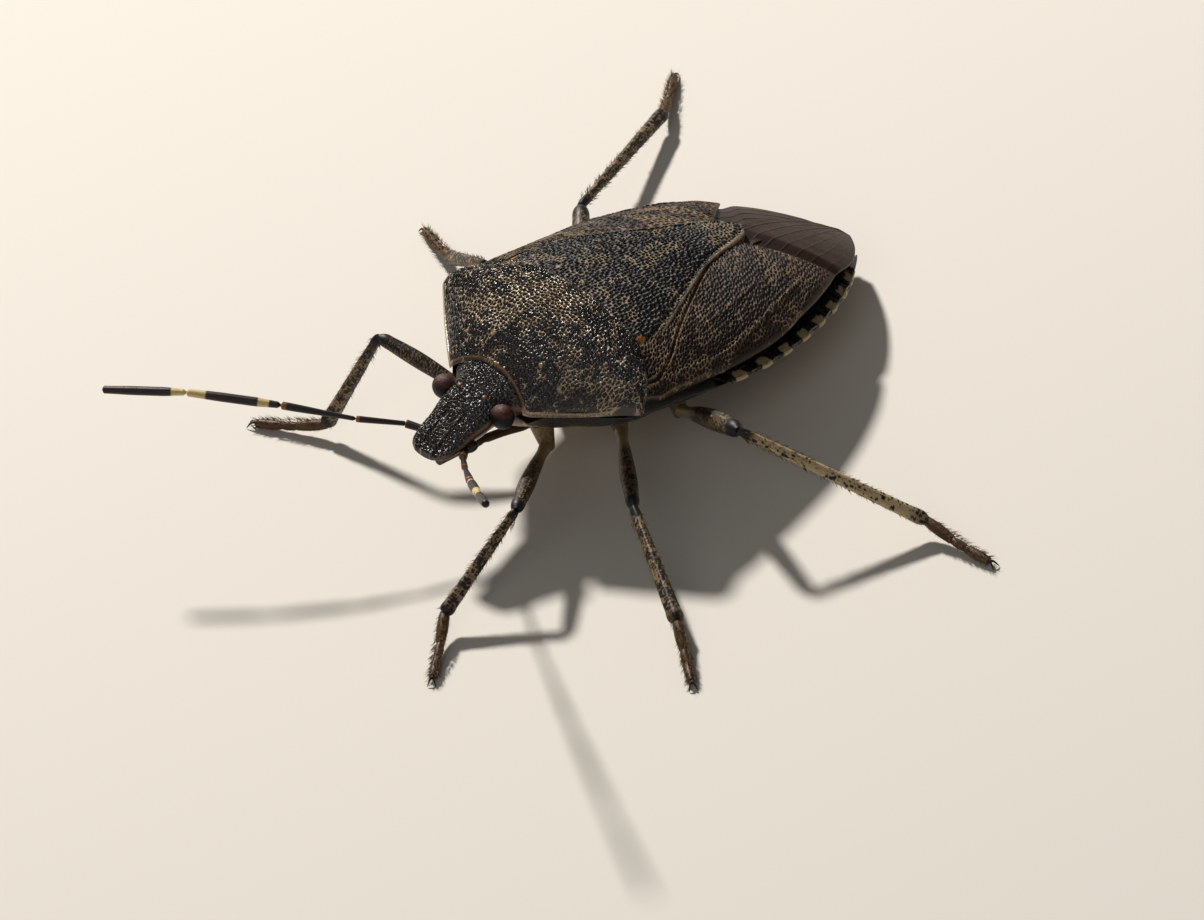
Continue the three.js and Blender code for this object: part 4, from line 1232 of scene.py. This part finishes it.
class ShieldBugStage(bpy.types.PropertyGroup):
    """Strengths and colours of the lights, and the floor's colour."""

    key_power: FloatProperty(
        name="Key lamp", description="Power of the sun-side lamp", default=1.4, subtype="POWER"
    )
    dome_strength: FloatProperty(
        name="Dome", description="Brightness of the pale dome", default=0.14, min=0
    )
    lamp_colour: FloatVectorProperty(
        name="Lamp colour", description="Colour of both lamps", default=linear("#fffaf4"),
        size=4, subtype="COLOR",
    )
    dome_colour: FloatVectorProperty(
        name="Dome colour", description="Colour of the dome", default=linear("#ecebe9"),
        size=4, subtype="COLOR",
    )
    floor_colour: FloatVectorProperty(
        name="Floor colour", description="Colour of the card", default=linear("#d3cfc7"),
        size=4, subtype="COLOR",
    )


def surface():
    """The add-on's surface settings."""
    return bpy.context.scene.shield_bug_surface


class BuildHead(bpy.types.Operator):
    """Build the head with its eyes, ocelli and beak"""

    bl_idname = "shield_bug.head"
    bl_label = "Head"

    def execute(self, context):
        build_head(surface())
        build_rostrum()
        return {"FINISHED"}


class BuildBack(bpy.types.Operator):
    """Build the pronotum and the scutellum"""

    bl_idname = "shield_bug.back"
    bl_label = "Pronotum and scutellum"

    def execute(self, context):
        build_pronotum(surface())
        build_scutellum(surface())
        return {"FINISHED"}


class BuildWings(bpy.types.Operator):
    """Build the leathery and the clear parts of both fore wings"""

    bl_idname = "shield_bug.wings"
    bl_label = "Wings"

    def execute(self, context):
        for name, side in SIDES.items():
            build_wing(side, name, surface())
            build_membrane(side, name)
        return {"FINISHED"}


class BuildAbdomen(bpy.types.Operator):
    """Build the underside and the banded rim"""

    bl_idname = "shield_bug.abdomen"
    bl_label = "Underside and rim"

    def execute(self, context):
        build_underside(surface())
        for name, side in SIDES.items():
            build_connexivum(side, name)
        return {"FINISHED"}


class BuildFeelers(bpy.types.Operator):
    """Build both feelers"""

    bl_idname = "shield_bug.feelers"
    bl_label = "Feelers"

    def execute(self, context):
        for name, side in SIDES.items():
            build_antenna(name, side)
        return {"FINISHED"}


class BuildLegs(bpy.types.Operator):
    """Build the six legs with their claws and hairs"""

    bl_idname = "shield_bug.legs"
    bl_label = "Legs"

    def execute(self, context):
        for place in LEGS:
            for name in SIDES:
                build_leg(place, name, surface())
        return {"FINISHED"}


class BuildStage(bpy.types.Operator):
    """Build the floor, the lamps and the camera"""

    bl_idname = "shield_bug.stage"
    bl_label = "Stage"

    def execute(self, context):
        spec = context.scene.shield_bug_stage
        lay_floor(spec)
        hang_lights(spec)
        aim_camera()
        return {"FINISHED"}


BUILDERS = (BuildHead, BuildBack, BuildWings, BuildAbdomen, BuildFeelers, BuildLegs, BuildStage)


class ShieldBugPanel(bpy.types.Panel):
    """Lists the builders and their settings"""

    bl_idname = "VIEW3D_PT_shield_bug"
    bl_label = "Shield Bug"
    bl_space_type = "VIEW_3D"
    bl_region_type = "UI"
    bl_category = "Shield Bug"

    def draw(self, context):
        for group in (context.scene.shield_bug_surface, context.scene.shield_bug_stage):
            for key in group.bl_rna.properties.keys():
                if key not in ("rna_type", "name"):
                    self.layout.prop(group, key)
        for builder in BUILDERS:
            self.layout.operator(builder.bl_idname)


CLASSES = (ShieldBugSurface, ShieldBugStage, *BUILDERS, ShieldBugPanel)


def register():
    for cls in CLASSES:
        bpy.utils.register_class(cls)
    bpy.types.Scene.shield_bug_surface = PointerProperty(type=ShieldBugSurface)
    bpy.types.Scene.shield_bug_stage = PointerProperty(type=ShieldBugStage)


def unregister():
    del bpy.types.Scene.shield_bug_stage
    del bpy.types.Scene.shield_bug_surface
    for cls in reversed(CLASSES):
        bpy.utils.unregister_class(cls)


def main():
    """Runs every builder in turn."""
    register()
    for builder in BUILDERS:
        group, operation = builder.bl_idname.split(".")
        getattr(getattr(bpy.ops, group), operation)()


if __name__ == "__main__":
    main()
